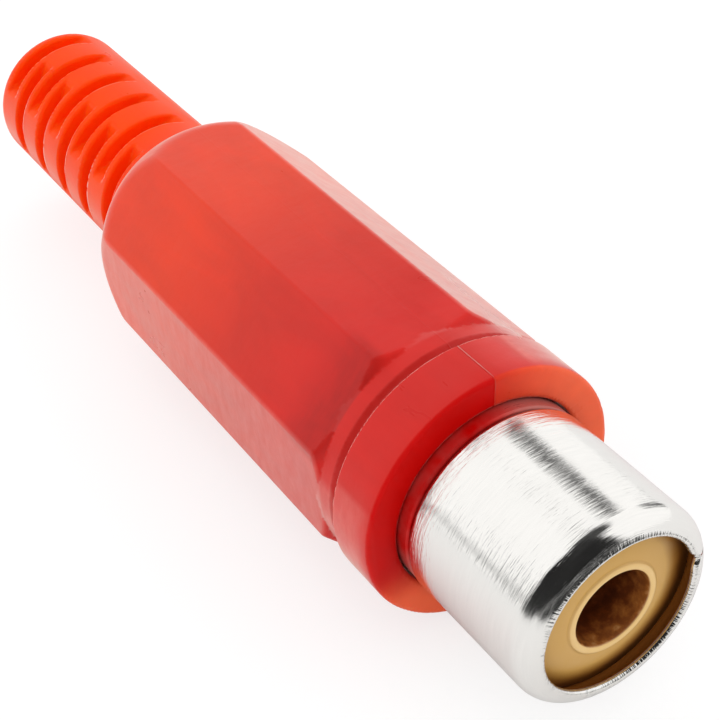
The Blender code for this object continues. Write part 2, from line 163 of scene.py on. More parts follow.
# The handle's inside, from its mouth to the boot, and the thread that it shares with the bush
MOUTH_BORE_R = 4.2
THREAD_CREST_R = 3.97
THREAD_CUT = 0.17
THREAD_PITCH = 0.75
THREAD_FRONT = 8.35
THREAD_REAR = 13.25
CAVITY_R = 4.15
CAVITY_REAR = 26.65
CAVITY_CONE = 2.4

# The spigot with which bush and front insulator stand in the shell
SPIGOT_R = 3.73


def sizes(group):
    """Every length of a property group in millimetres, by name."""
    return {key: getattr(group, key) / MM for key in group.__annotations__}


def to_world(radius, depth, turn):
    """World metres of places given by radius, depth behind the rim and turn in radians.

    The turn runs about the axis from straight up towards -Y. X is half the overall length less
    the depth, Y is minus the radius times the sine, and Z is the axis height plus the radius
    times the cosine.
    """
    x = OVERALL / 2 - depth
    y = -radius * np.sin(turn)
    z = AXIS_Z + radius * np.cos(turn)
    return np.stack(np.broadcast_arrays(x, y, z), axis=-1).reshape(-1, 3) * MM


# Meshes


def make_piece(name, points, faces, material, node, body, normals=None):
    """Puts finished arrays in a mesh, hangs it on the body that it rides on and hides the CAD node that it
    stands for.
    """
    mesh = bpy.data.meshes.new(name)
    if signed_volume(points, faces) < 0:
        faces = faces[:, ::-1]
    mesh.from_pydata(points.tolist(), [], faces.tolist())
    mesh.validate()
    mesh.polygons.foreach_set("use_smooth", np.ones(len(mesh.polygons), dtype=bool))
    if normals is not None:
        mesh.normals_split_custom_set_from_vertices(normals.tolist())
    mesh.materials.append(material)
    mesh.update()
    piece = bpy.data.objects.new(name, mesh)
    bpy.context.scene.collection.objects.link(piece)
    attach(piece, body)
    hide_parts(node)


def signed_volume(points, faces):
    """Sum over the faces of corner dot (corner cross corner), positive when they point outwards."""
    a, b, c, d = (points[faces[:, i]] for i in range(4))
    return float(np.einsum("ij,ij->i", a, np.cross(b, c)).sum()
                 + np.einsum("ij,ij->i", a, np.cross(c, d)).sum())


def grid_faces(rows, columns, close_rows=False, close_columns=False):
    """Quads of a grid of points; either direction may join up with its own start."""
    i = np.arange(rows if close_rows else rows - 1)
    j = np.arange(columns if close_columns else columns - 1)
    i, j = np.meshgrid(i, j, indexing="ij")
    i2, j2 = (i + 1) % rows, (j + 1) % columns
    return np.stack([i * columns + j, i2 * columns + j, i2 * columns + j2, i * columns + j2],
                    axis=-1).reshape(-1, 4)


def resample(outline, step):
    """Places more points on a closed outline so that none are further apart than the step."""
    points = np.asarray(outline, dtype=float)
    following = np.roll(points, -1, axis=0)
    counts = np.maximum(1, np.ceil(np.linalg.norm(following - points, axis=1) / step).astype(int))
    start = np.repeat(np.arange(len(points)), counts)
    part = np.concatenate([np.arange(n) / n for n in counts])
    return points[start] + (following[start] - points[start]) * part[:, None]


def rounded(outline, radii, steps=4):
    """Rounds the corners of a closed outline: each corner becomes an arc that touches both edges."""
    points = np.asarray(outline, dtype=float)
    result = []
    for i, radius in enumerate(radii):
        here = points[i]
        back = points[i - 1] - here
        on = points[(i + 1) % len(points)] - here
        back_length, on_length = np.linalg.norm(back), np.linalg.norm(on)
        back, on = back / back_length, on / on_length
        half = math.acos(max(-1.0, min(1.0, float(back @ on)))) / 2
        reach = min(radius / math.tan(half), 0.48 * back_length, 0.48 * on_length)
        radius = reach * math.tan(half)
        middle = (back + on) / np.linalg.norm(back + on)
        centre = here + middle * radius / math.sin(half)
        start, end = here + back * reach - centre, here + on * reach - centre
        for part in np.linspace(0.0, 1.0, steps + 1):
            direction = start * (1 - part) + end * part
            result.append(centre + direction / np.linalg.norm(direction) * radius)
    return np.array(result)


def turned(outline, columns=144, relief=None):
    """A closed outline of (radius, depth) carried round the axis.

    Point (i, j) is outline point i at turn 2 pi j / columns. A relief function may move the
    radius by an amount that depends on the radius, the depth and the turn.
    """
    turn = np.linspace(0.0, 2 * np.pi, columns, endpoint=False)[None, :]
    radius = np.broadcast_to(outline[:, :1], (len(outline), columns))
    depth = np.broadcast_to(outline[:, 1:], (len(outline), columns))
    if relief is not None:
        radius = radius + relief(radius, depth, turn)
    points = to_world(radius, depth, turn)
    faces = grid_faces(len(outline), columns, close_rows=True, close_columns=True)
    return points, faces


# Solids from a distance field


def round_max(a, b, radius):
    """Larger of two distances, with a quarter circle of the radius where the two meet."""
    u, v = np.maximum(a + radius, 0.0), np.maximum(b + radius, 0.0)
    return np.sqrt(u * u + v * v) + np.minimum(np.maximum(a, b) + radius, 0.0) - radius


def round_min(a, b, radius):
    """Smaller of two distances, with a hollow fillet of the radius where the two meet."""
    return -round_max(-a, -b, radius)


def contour(field, xs, ys, zs, probe=2.0e-3):
    """The surface on which a field is zero, as one vertex for each cell of a grid that it crosses.

    A cell's vertex starts at the mean of the crossings on its twelve edges. It is then moved
    along the field's gradient until the field is zero there, and the gradient is its normal.
    A grid edge whose two ends differ in sign gives one quad through the four cells around it.
    The probe is the short step, in millimetres, over which the field's slope is measured.
    """
    grid = np.stack(np.meshgrid(xs, ys, zs, indexing="ij"), axis=-1)
    value = field(grid[..., 0], grid[..., 1], grid[..., 2])
    inside = value < 0
    nx, ny, nz = value.shape
    total = np.zeros((nx - 1, ny - 1, nz - 1, 3))
    count = np.zeros((nx - 1, ny - 1, nz - 1))
    corners = [(0, 0), (0, 1), (1, 0), (1, 1)]
    for axis in range(3):
        low = [slice(None)] * 3
        high = [slice(None)] * 3
        low[axis], high[axis] = slice(0, -1), slice(1, None)
        a, b = value[tuple(low)], value[tuple(high)]
        crossed = inside[tuple(low)] != inside[tuple(high)]
        part = np.where(crossed, a / np.where(crossed, a - b, 1.0), 0.0)[..., None]
        place = grid[tuple(low)] * (1 - part) + grid[tuple(high)] * part
        place = place * crossed[..., None]
        others = [i for i in range(3) if i != axis]
        for first, second in corners:
            cut = [slice(None)] * 3
            cut[others[0]] = slice(first, value.shape[others[0]] - 1 + first)
            cut[others[1]] = slice(second, value.shape[others[1]] - 1 + second)
            total += place[tuple(cut)]
            count += crossed[tuple(cut)]
    active = count > 0
    number = np.full(active.shape, -1, dtype=np.int64)
    number[active] = np.arange(active.sum())
    points = total[active] / count[active][:, None]

    cells = np.argwhere(active)
    widths = np.stack([np.diff(axis)[cells[:, i]] for i, axis in enumerate((xs, ys, zs))], axis=1)
    # no vertex leaves the neighbourhood of its own cell
    home = points.copy()
    reach = 0.75 * widths
    for _ in range(6):
        level, slope = gradient(field, points, probe)
        size = np.einsum("ij,ij->i", slope, slope)
        move = -level[:, None] * slope / np.maximum(size, 1e-9)[:, None]
        points = home + np.clip(points + move - home, -reach, reach)
    _, slope = gradient(field, points, probe)
    normals = slope / np.maximum(np.linalg.norm(slope, axis=1), 1e-9)[:, None]

    quads = []
    for axis in range(3):
        others = [i for i in range(3) if i != axis]
        low = [slice(1, -1)] * 3
        high = [slice(1, -1)] * 3
        low[axis], high[axis] = slice(0, -1), slice(1, None)
        starts, ends = inside[tuple(low)], inside[tuple(high)]
        where = np.argwhere(starts != ends)
        leaving = starts[starts != ends]
        where[:, others[0]] += 1
        where[:, others[1]] += 1
        ring = []
        for first, second in ((0, 0), (1, 0), (1, 1), (0, 1)):
            cell = where.copy()
            cell[:, others[0]] -= first
            cell[:, others[1]] -= second
            ring.append(number[cell[:, 0], cell[:, 1], cell[:, 2]])
        quad = np.stack(ring, axis=1)
        turned_over = leaving if axis != 1 else ~leaving
        quad[turned_over] = quad[turned_over][:, ::-1]
        quads.append(quad)
    return points, np.concatenate(quads), normals


def gradient(field, points, step):
    """A field's value and slope at points, the slope from differences over a short step."""
    x, y, z = points[:, 0], points[:, 1], points[:, 2]
    level = field(x, y, z)
    slope = np.stack([field(x + step, y, z) - field(x - step, y, z),
                      field(x, y + step, z) - field(x, y - step, z),
                      field(x, y, z + step) - field(x, y, z - step)], axis=1) / (2 * step)
    return level, slope


def spaced(*runs):
    """Grid lines in several runs of (start, end, spacing), one after another."""
    lines = [np.linspace(start, end, max(2, int(round((end - start) / gap)) + 1))[:-1]
             for start, end, gap in runs]
    return np.concatenate(lines + [[runs[-1][1]]])


def shoulder_radius(size, t):
    """Radius of the domed shoulder: a straight run from corner to boot plus a parabola."""
    corner = size["across_flats"] / 2 / math.cos(math.pi / 8)
    boot = size["boot_dia"] / 2
    return corner + (boot - corner) * t + 4 * size["shoulder_bulge"] * t * (1 - t)


def handle_field(size):
    """Distance to the handle's surface, in millimetres, negative inside the plastic.

    Outside, it is the larger of plain forms where they bound one another: a cylinder and two
    planes for the collar, eight planes, a cone and a dome for the grip, a cylinder for the
    boot. Joined forms take the smaller. The bore and the slots are taken away.
    """
    collar_front = size["collar_front"]
    collar_rear = collar_front + size["collar_length"]
    neck_rear = collar_rear + size["neck_length"]
    body_rear = neck_rear + size["body_length"]
    boot_front = body_rear + size["shoulder_length"]
    neck_r, collar_r, boot_r = size["neck_dia"] / 2, size["collar_dia"] / 2, size["boot_dia"] / 2
    flat_r = size["across_flats"] / 2
    cable_r = size["cable_bore"] / 2
    cone_slope = (CAVITY_R - cable_r) / CAVITY_CONE
    # rise of the chamfer by the neck for each millimetre along, and the steepness of the dome
    chamfer_slope, dome_steepness = 1.4, 1.18
    # rounds of the mould's plain edges, of the shoulder and of a slot's ends
    edge_round, shoulder_round, slot_end_round = 0.1, 0.14, 0.08
    # hollow fillets between collar and neck, and at the foot of the boot
    neck_fillet, foot_fillet = 0.05, 0.25
    # the groove is 0.5 mm wide and runs out over 0.2 mm; behind the neck, the cylinder tapers
    groove_width, groove_end, neck_taper = 0.5, 0.2, 0.15
    # how far the neck's cylinder runs into the collar and under the grip, and the grip over the boot
    in_collar, under_grip, over_boot = 1.0, 2.0, 0.6
    # no slot is cut closer to the foot of the boot than this
    foot_clear = 0.2
    # the cable's way out is belled over the last stretch of the boot
    bell, bell_length = 0.35, 0.7

    def slots(radius, turn, depth):
        """Flat-floored slots: each mould half has two staggered rows beside its middle."""
        reach = None
        for half in (0.0, math.pi):
            for row, side in enumerate((1, -1)):
                angle = half + math.radians(MOULD_ANGLE + side * SLOT_ANGLE)
                above = size["slot_floor"] - radius * np.cos(turn - angle)
                first = boot_front + size["slot_first"] + row * size["slot_pitch"] / 2
                step = np.clip(np.round((depth - first) / size["slot_pitch"]), 0, SLOT_COUNT - 1)
                flat = np.abs(depth - first - step * size["slot_pitch"]) - size["slot_width"] / 2
                slot = round_max(flat, above, slot_end_round)
                reach = slot if reach is None else np.minimum(reach, slot)
        return reach

    def bored(depth, turn):
        """Radius of the hole: mouth, thread, cavity, cone, cable bore and its belled end.

        The thread is a triangle wave of depth less turn, with its crests and roots cut flat.
        """
        wave = np.abs(((depth / THREAD_PITCH - turn / (2 * np.pi)) % 1.0) * 2 - 1)
        thread_r = THREAD_CREST_R + THREAD_CUT * np.clip(wave * 1.3 - 0.15, 0.0, 1.0)
        bore_r = np.where(depth < THREAD_FRONT, MOUTH_BORE_R,
                          np.where(depth < THREAD_REAR, thread_r, CAVITY_R))
        cone_r = np.clip(CAVITY_R - (depth - CAVITY_REAR) * cone_slope, cable_r, CAVITY_R)
        bore_r = np.where(depth > CAVITY_REAR, cone_r, bore_r)
        belled = np.clip((depth - (OVERALL - bell_length)) / bell_length, 0.0, 1.0)
        return bore_r + bell * belled * belled

    def field(x, y, z):
        """The distance at world places in millimetres."""
        depth = OVERALL / 2 - x
        radius = np.hypot(y, z - AXIS_Z)
        turn = np.arctan2(-y, z - AXIS_Z)

        collar = round_max(radius - collar_r, collar_front - depth, size["collar_round"])
        collar = round_max(collar, depth - collar_rear, edge_round)
        groove = size["groove_depth"] * np.clip((collar_rear + groove_width - depth) / groove_end, 0.0, 1.0)
        taper = neck_taper * np.maximum(depth - neck_rear, 0.0)
        neck = np.maximum(radius - neck_r + groove + taper,
                          np.maximum(collar_front + in_collar - depth, depth - neck_rear - under_grip))

        # the two nearest of the eight flats, the chamfer by the neck, and the dome
        off_middle = (turn + math.pi / 8) % (math.pi / 4) - math.pi / 8
        near = radius * np.cos(off_middle) - flat_r
        away = radius * np.cos(math.pi / 4 - np.abs(off_middle)) - flat_r
        grip = round_max(near, away, size["grip_round"])
        chamfer = (radius - neck_r - (depth - neck_rear) * chamfer_slope) / math.hypot(1.0, chamfer_slope)
        grip = round_max(grip, chamfer, edge_round)
        along = np.clip((depth - body_rear) / size["shoulder_length"], -0.35, 1.25)
        dome = (radius - shoulder_radius(size, along)) / dome_steepness
        grip = round_max(grip, dome, shoulder_round)
        grip = np.maximum(grip, depth - boot_front - over_boot)

        boot = round_max(radius - boot_r, depth - OVERALL, size["boot_tip_round"])
        boot = np.maximum(boot, body_rear - depth)
        outer = round_min(collar, neck, neck_fillet)
        outer = np.minimum(outer, grip)
        outer = round_min(outer, boot, foot_fillet)

        handle = round_max(outer, bored(depth, turn) - radius, edge_round)
        slotted = round_max(handle, -slots(radius, turn, depth), size["slot_round"])
        return np.where(depth > boot_front + foot_clear, slotted, handle)

    return field


# Materials


# settings that many nodes share
SMOOTH = {"interpolation_type": "SMOOTHSTEP"}
BLEND = {"data_type": "RGBA"}
DARKEN = {"data_type": "RGBA", "blend_type": "MULTIPLY"}
WEIGH = {"data_type": "FLOAT"}
TIMES = {"operation": "MULTIPLY"}
PLUS = {"operation": "ADD"}
LESS = {"operation": "SUBTRACT"}
LARGER = {"operation": "MAXIMUM"}
TOWARDS = {"operation": "DOT_PRODUCT"}
SIZE_OF = {"operation": "LENGTH"}


def add(tree, kind, settings=None, **links):
    """Adds a node; settings are its attributes, and links are values or sockets by input name.

    An underscore stands for a space in an input's name, and a trailing number picks an input
    by its place. The setting stops lists a colour ramp's (position, colour) pairs.
    """
    item = tree.nodes.new(kind)
    for key, value in (settings or {}).items():
        if key == "stops":
            elements = item.color_ramp.elements
            elements.remove(elements[1])
            elements[0].position, elements[0].color = value[0]
            for position, tone in value[1:]:
                elements.new(position).color = tone
        else:
            setattr(item, key, value)
    for key, value in links.items():
        if key.startswith("in") and key[2:].isdigit():
            socket = item.inputs[int(key[2:])]
        else:
            socket = item.inputs[key.replace("_", " ")]
        if isinstance(value, bpy.types.NodeSocket):
            tree.links.new(value, socket)
        else:
            socket.default_value = value
    return item


def blank_material(name):
    """A material with only its output and a Principled shader, and its tree."""
    material = bpy.data.materials.new(name)
    material.use_nodes = True
    tree = material.node_tree
    return material, tree, tree.nodes["Principled BSDF"]


def from_axis(tree, place):
    """Object coordinates with the long axis at their origin, their parts, and the radius."""
    centred = add(tree, "ShaderNodeMapping", Vector=place,
                  Location=(0.0, 0.0, -AXIS_Z * MM)).outputs["Vector"]
    parts = add(tree, "ShaderNodeSeparateXYZ", Vector=centred).outputs
    flat = add(tree, "ShaderNodeCombineXYZ", Y=parts["Y"], Z=parts["Z"]).outputs["Vector"]
    radius = add(tree, "ShaderNodeVectorMath", SIZE_OF, in0=flat).outputs["Value"]
    return centred, parts, radius


def between(tree, value, low, high, soft):
    """One where a value lies between two limits and nought outside, with soft ends."""
    rise = add(tree, "ShaderNodeMapRange", SMOOTH, Value=value,
               From_Min=low - soft, From_Max=low + soft).outputs["Result"]
    fall = add(tree, "ShaderNodeMapRange", SMOOTH, Value=value,
               From_Min=high - soft, From_Max=high + soft, To_Min=1.0, To_Max=0.0).outputs["Result"]
    return add(tree, "ShaderNodeMath", TIMES, in0=rise, in1=fall).outputs["Value"]


def moulded_red(name, hues):
    """Injection-moulded ABS: a satin skin with orange peel, flow marks and a parting line.

    The colour runs along the handle from orange at the boot to crimson at the collar: the orange
    is a painted glow of light coming through the thin rings, and the crimson is painted shade in the
    thick collar.
    """
    material, tree, shader = blank_material(name)
    place = add(tree, "ShaderNodeTexCoord").outputs["Object"]
    centred, parts, radius = from_axis(tree, place)
    # painted glow at the boot and painted shade towards the collar, as a colour ramp along the handle
    along = add(tree, "ShaderNodeMapRange", Value=parts["X"], From_Min=-0.0225,
                From_Max=0.0151).outputs["Result"]
    boot, grip, collar = tuple(hues.boot_red), tuple(hues.grip_red), tuple(hues.collar_red)
    deep = linear("#D2240C")
    tint = add(tree, "ShaderNodeValToRGB",
               {"stops": [(0.0, boot), (0.32, boot), (0.4, grip), (0.56, grip), (0.72, deep),
                          (0.86, collar), (1.0, collar)]}, Fac=along).outputs["Color"]

    # distance from the plane of the mould's parting, less than nought on the camera's side
    turned_to = add(tree, "ShaderNodeMapping", Vector=centred,
                    Rotation=(math.radians(-PARTING_ANGLE), 0.0, 0.0)).outputs["Vector"]
    across = add(tree, "ShaderNodeSeparateXYZ", Vector=turned_to).outputs["Y"]
    # the collar's front face takes painted shade and a painted glow
    face, on_face = collar_face(tree, hues, parts, across, radius)
    tint = add(tree, "ShaderNodeMix", BLEND, in0=on_face, in6=tint, in7=face).outputs[2]

    # a painted highlight lightens the collar's rear edge, and painted shade darkens the groove behind it
    edge = between(tree, parts["X"], 0.0127, 0.01279, 0.00004)
    edge_highlight = add(tree, "ShaderNodeMath", TIMES, in0=edge, in1=0.35).outputs["Value"]
    tint = add(tree, "ShaderNodeMix", BLEND, in0=edge_highlight, in6=tint, in7=tuple(hues.painted_highlight_red)).outputs[2]
    groove = between(tree, parts["X"], 0.0122, 0.0127, 0.00006)
    groove_shade = add(tree, "ShaderNodeMapRange", Value=groove, To_Min=1.0, To_Max=0.8).outputs["Result"]
    tint = add(tree, "ShaderNodeMix", DARKEN, in0=1.0, in6=tint, in7=groove_shade).outputs[2]

    # rubs about 0.4 mm wide and 1 mm long run round the handle
    rub_place = add(tree, "ShaderNodeMapping", Vector=centred,
                    Scale=(2600.0, 900.0, 900.0)).outputs["Vector"]
    rubs = add(tree, "ShaderNodeTexNoise", Vector=rub_place, Scale=1.0, Detail=5.0,
               Roughness=0.7).outputs["Fac"]
    rubs = add(tree, "ShaderNodeMapRange", Value=rubs, From_Min=0.3, From_Max=0.7, To_Min=0.6,
               To_Max=1.0).outputs["Result"]
    grip_zone = between(tree, parts["X"], -0.0085, 0.0147, 0.0006)
    scuffs_and_sheen = add(tree, "ShaderNodeMath", TIMES, in0=grip_zone, in1=rubs).outputs["Value"]
    # painted sheen: the flats at the grip's near and far edges are painted pale, patchy with the rubs
    flat_sheen = flats_painted_sheen(tree, centred, scuffs_and_sheen)
    tint = add(tree, "ShaderNodeMix", BLEND, in0=flat_sheen, in6=tint, in7=tuple(hues.painted_highlight_red)).outputs[2]
    # painted shade deepens the upper near flat by the neck
    crimson = flat_painted_shade(tree, centred, parts, rubs)
    flat_shade = add(tree, "ShaderNodeMapRange", Value=crimson, To_Min=1.0, To_Max=0.68).outputs["Result"]
    tint = add(tree, "ShaderNodeMix", DARKEN, in0=1.0, in6=tint, in7=flat_shade).outputs[2]

    # flow marks: clouds about 2.4 mm wide, drawn out to 5.5 mm along the handle
    flow_place = add(tree, "ShaderNodeMapping", Vector=centred,
                     Scale=(180.0, 420.0, 420.0)).outputs["Vector"]
    flow = add(tree, "ShaderNodeTexNoise", Vector=flow_place, Scale=1.0, Detail=4.0, Roughness=0.6,
               Distortion=0.6).outputs["Fac"]
    cloudy = add(tree, "ShaderNodeMapRange", Value=flow, From_Min=0.3, From_Max=0.7, To_Min=0.9,
                 To_Max=1.06).outputs["Result"]
    tint = add(tree, "ShaderNodeMix", DARKEN, in0=1.0, in6=tint, in7=cloudy).outputs[2]
    tree.links.new(tint, shader.inputs["Base Color"])
    rough = add(tree, "ShaderNodeMapRange", Value=flow, From_Min=0.3, From_Max=0.7, To_Min=0.26,
                To_Max=0.42).outputs["Result"]
    tree.links.new(rough, shader.inputs["Roughness"])
    tree.links.new(red_skin(tree, place, parts, across), shader.inputs["Normal"])

    # the boot is matt and lets light through, and the grip and the face shine a little more
    shine = add(tree, "ShaderNodeMapRange", Value=along, From_Min=0.3, From_Max=0.42, To_Min=0.06,
                To_Max=0.25).outputs["Result"]
    shine = add(tree, "ShaderNodeMapRange", Value=on_face, From_Min=0.0, From_Max=1.0, To_Min=shine,
                To_Max=0.1).outputs["Result"]
    tree.links.new(shine, shader.inputs["Specular IOR Level"])
    through = add(tree, "ShaderNodeMapRange", Value=along, From_Min=0.3, From_Max=0.42, To_Min=0.7,
                  To_Max=0.25).outputs["Result"]
    tree.links.new(through, shader.inputs["Subsurface Weight"])

    # scuffs give a pale haze at a flat angle, less where painted shade deepens the flat
    less_sheen = add(tree, "ShaderNodeMapRange", Value=crimson, To_Min=1.0, To_Max=0.35).outputs["Result"]
    scuffs_and_sheen = add(tree, "ShaderNodeMath", TIMES, in0=scuffs_and_sheen, in1=less_sheen).outputs["Value"]
    rings = rubbed_rings(tree, centred, parts)
    haze = add(tree, "ShaderNodeMath", LARGER, in0=scuffs_and_sheen, in1=rings).outputs["Value"]
    tree.links.new(haze, shader.inputs["Sheen Weight"])
    shader.inputs["Sheen Roughness"].default_value = 0.34
    shader.inputs["Sheen Tint"].default_value = linear("#FFF2E8")
    shader.inputs["IOR"].default_value = 1.5
    shader.inputs["Subsurface Radius"].default_value = (1.0, 0.15, 0.05)
    shader.inputs["Subsurface Scale"].default_value = 0.0007
    return material


def collar_face(tree, hues, parts, across, radius):
    """Colour of the collar's front face, and a value that is one on it and nought elsewhere.

    The mould has polished it. Its colour is painted light: painted shade, crimson on its upper near
    half up to the parting plane and darker towards the shell, and a painted glow on the far and
    the low side, where light comes through.
    """
    near_half = add(tree, "ShaderNodeMapRange", Value=across, From_Min=-0.00004, From_Max=0.00004,
                    To_Min=1.0, To_Max=0.0).outputs["Result"]
    upper = add(tree, "ShaderNodeMapRange", SMOOTH, Value=parts["Z"], From_Min=-0.0034,
                From_Max=-0.0004).outputs["Result"]
    shaded = add(tree, "ShaderNodeMath", TIMES, in0=near_half, in1=upper).outputs["Value"]
    far_side = add(tree, "ShaderNodeMapRange", SMOOTH, Value=across, From_Min=-0.0015,
                   From_Max=0.0042).outputs["Result"]
    low_side = add(tree, "ShaderNodeMapRange", SMOOTH, Value=parts["Z"], From_Min=-0.0032,
                   From_Max=-0.0006, To_Min=1.0, To_Max=0.0).outputs["Result"]
    glowing = add(tree, "ShaderNodeMath", LARGER, in0=far_side, in1=low_side).outputs["Value"]
    lit = add(tree, "ShaderNodeMix", BLEND, in0=glowing, in6=tuple(hues.collar_red),
              in7=tuple(hues.glow_red)).outputs[2]
    face = add(tree, "ShaderNodeMix", BLEND, in0=shaded, in6=lit, in7=tuple(hues.shaded_face_red)).outputs[2]
    # painted shade: towards the shell the face gets little light, and no light comes out of it
    painted_shell_shade = add(tree, "ShaderNodeMapRange", SMOOTH, Value=radius, From_Min=0.0041,
                     From_Max=0.0049, To_Min=0.9, To_Max=1.0).outputs["Result"]
    face = add(tree, "ShaderNodeMix", DARKEN, in0=1.0, in6=face, in7=painted_shell_shade).outputs[2]
    on_face = add(tree, "ShaderNodeMapRange", Value=parts["X"], From_Min=0.01492,
                  From_Max=0.01502).outputs["Result"]
    return face, on_face


def flats_painted_sheen(tree, centred, scuffs_and_sheen):
    """How far the flats at the near and the far edge of the grip are painted pale: a painted sheen where
    these flats are seen at a flat angle.
    """
    near_edge, far_edge = [
        add(tree, "ShaderNodeMapRange", From_Min=0.00508, From_Max=0.00518, To_Min=0.0, To_Max=share,
            Value=add(tree, "ShaderNodeVectorMath", TOWARDS, in0=centred, in1=facing).outputs["Value"])
        for facing, share in (((0.0, -1.0, 0.0), 0.2), ((0.0, 0.707, 0.707), 0.3))]
    flats = add(tree, "ShaderNodeMath", LARGER, in0=near_edge.outputs["Result"],
                in1=far_edge.outputs["Result"]).outputs["Value"]
    return add(tree, "ShaderNodeMath", TIMES, in0=flats, in1=scuffs_and_sheen).outputs["Value"]


def flat_painted_shade(tree, centred, parts, rubs):
    """One on the upper near flat by the neck, where painted shade deepens its colour."""
    front = add(tree, "ShaderNodeMapRange", SMOOTH, Value=parts["X"], From_Min=0.0082,
                From_Max=0.0111).outputs["Result"]
    front_end = add(tree, "ShaderNodeMapRange", Value=parts["X"], From_Min=0.01148,
                    From_Max=0.01158, To_Min=1.0, To_Max=0.0).outputs["Result"]
    off = add(tree, "ShaderNodeVectorMath", TOWARDS, in0=centred,
              in1=(0.0, -0.707, 0.707)).outputs["Value"]
    flat = add(tree, "ShaderNodeMapRange", Value=off, From_Min=0.0048,
               From_Max=0.0052).outputs["Result"]
    crimson = add(tree, "ShaderNodeMath", TIMES, in0=front, in1=front_end).outputs["Value"]
    crimson = add(tree, "ShaderNodeMath", TIMES, in0=crimson, in1=flat).outputs["Value"]
    return add(tree, "ShaderNodeMath", TIMES, in0=crimson, in1=rubs).outputs["Value"]


def rubbed_rings(tree, centred, parts):
    """How far the rings of the boot are rubbed pale: on their low near side."""
    low_near = add(tree, "ShaderNodeVectorMath", TOWARDS, in0=centred,
                   in1=(0.0, -0.978, 0.208)).outputs["Value"]
    rings = add(tree, "ShaderNodeMapRange", SMOOTH, Value=low_near, From_Min=0.0029,
                From_Max=0.00345, To_Min=0.05, To_Max=0.9).outputs["Result"]
    on_boot = add(tree, "ShaderNodeMapRange", Value=parts["X"], From_Min=-0.0100,
                  From_Max=-0.0088, To_Min=1.0, To_Max=0.0).outputs["Result"]
    return add(tree, "ShaderNodeMath", TIMES, in0=rings, in1=on_boot).outputs["Value"]


def red_skin(tree, place, parts, across):
    """Relief of the moulded skin: orange peel of 0.3 mm, a grain of 0.1 mm and a parting line.

    The grain is as fine as the render shows. The parting line is a ridge 0.06 mm wide, rubbed
    away on the grip.
    """
    peel = add(tree, "ShaderNodeTexNoise", Vector=place, Scale=3200.0, Detail=2.0).outputs["Fac"]
    grain = add(tree, "ShaderNodeTexNoise", Vector=place, Scale=9000.0, Detail=2.0).outputs["Fac"]
    ridge = between(tree, across, -0.00003, 0.00003, 0.00002)
    kept = add(tree, "ShaderNodeMapRange", Value=parts["X"], From_Min=0.0122, From_Max=0.0128,
               To_Min=0.08, To_Max=1.0).outputs["Result"]
    ridge = add(tree, "ShaderNodeMath", TIMES, in0=ridge, in1=kept).outputs["Value"]
    first = add(tree, "ShaderNodeBump", Strength=0.3, Distance=0.000012, Height=peel)
    second = add(tree, "ShaderNodeBump", Strength=0.25, Distance=0.000005, Height=grain,
                 Normal=first.outputs["Normal"])
    third = add(tree, "ShaderNodeBump", Strength=1.0, Distance=0.00003, Height=ridge,
                Normal=second.outputs["Normal"])
    return third.outputs["Normal"]


def bright_metal(name, tone, rough_low, rough_high, line_height):
    """Plated or bare metal: bright, with polishing lines that run round the axis.

    The lines are 0.12 mm apart and about 2 mm long, coarser than real ones so that they show.
    Their height depends on place along the axis less the radius, so that they stay circles on
    the tube and the lip.
    """
    material, tree, shader = blank_material(name)
    place = add(tree, "ShaderNodeTexCoord").outputs["Object"]
    _, parts, radius = from_axis(tree, place)
    run = add(tree, "ShaderNodeMath", LESS, in0=parts["X"], in1=radius).outputs["Value"]
    line_place = add(tree, "ShaderNodeCombineXYZ", X=run, Y=parts["Y"], Z=parts["Z"]).outputs["Vector"]
    stretched = add(tree, "ShaderNodeMapping", Vector=line_place,
                    Scale=(8000.0, 550.0, 550.0)).outputs["Vector"]
    lines = add(tree, "ShaderNodeTexNoise", Vector=stretched, Scale=1.0, Detail=3.0,
                Roughness=0.65).outputs["Fac"]
    # handling has dulled the lines in patches of about 1.4 mm
    patch = add(tree, "ShaderNodeTexNoise", Vector=place, Scale=700.0, Detail=3.0).outputs["Fac"]
    both = add(tree, "ShaderNodeMath", TIMES, in0=lines, in1=patch).outputs["Value"]
    rough = add(tree, "ShaderNodeMapRange", Value=both, From_Min=0.1, From_Max=0.4, To_Min=rough_low,
                To_Max=rough_high).outputs["Result"]
    tree.links.new(rough, shader.inputs["Roughness"])
    toned = add(tree, "ShaderNodeMapRange", Value=lines, From_Min=0.3, From_Max=0.7, To_Min=0.95,
                To_Max=1.0).outputs["Result"]
    mixed = add(tree, "ShaderNodeMix", DARKEN, in0=1.0, in6=tone, in7=toned).outputs[2]
    tree.links.new(mixed, shader.inputs["Base Color"])
    bump = add(tree, "ShaderNodeBump", Strength=1.0, Distance=line_height, Height=lines)
    tree.links.new(bump.outputs["Normal"], shader.inputs["Normal"])
    shader.inputs["Metallic"].default_value = 1.0
    return material, tree, shader


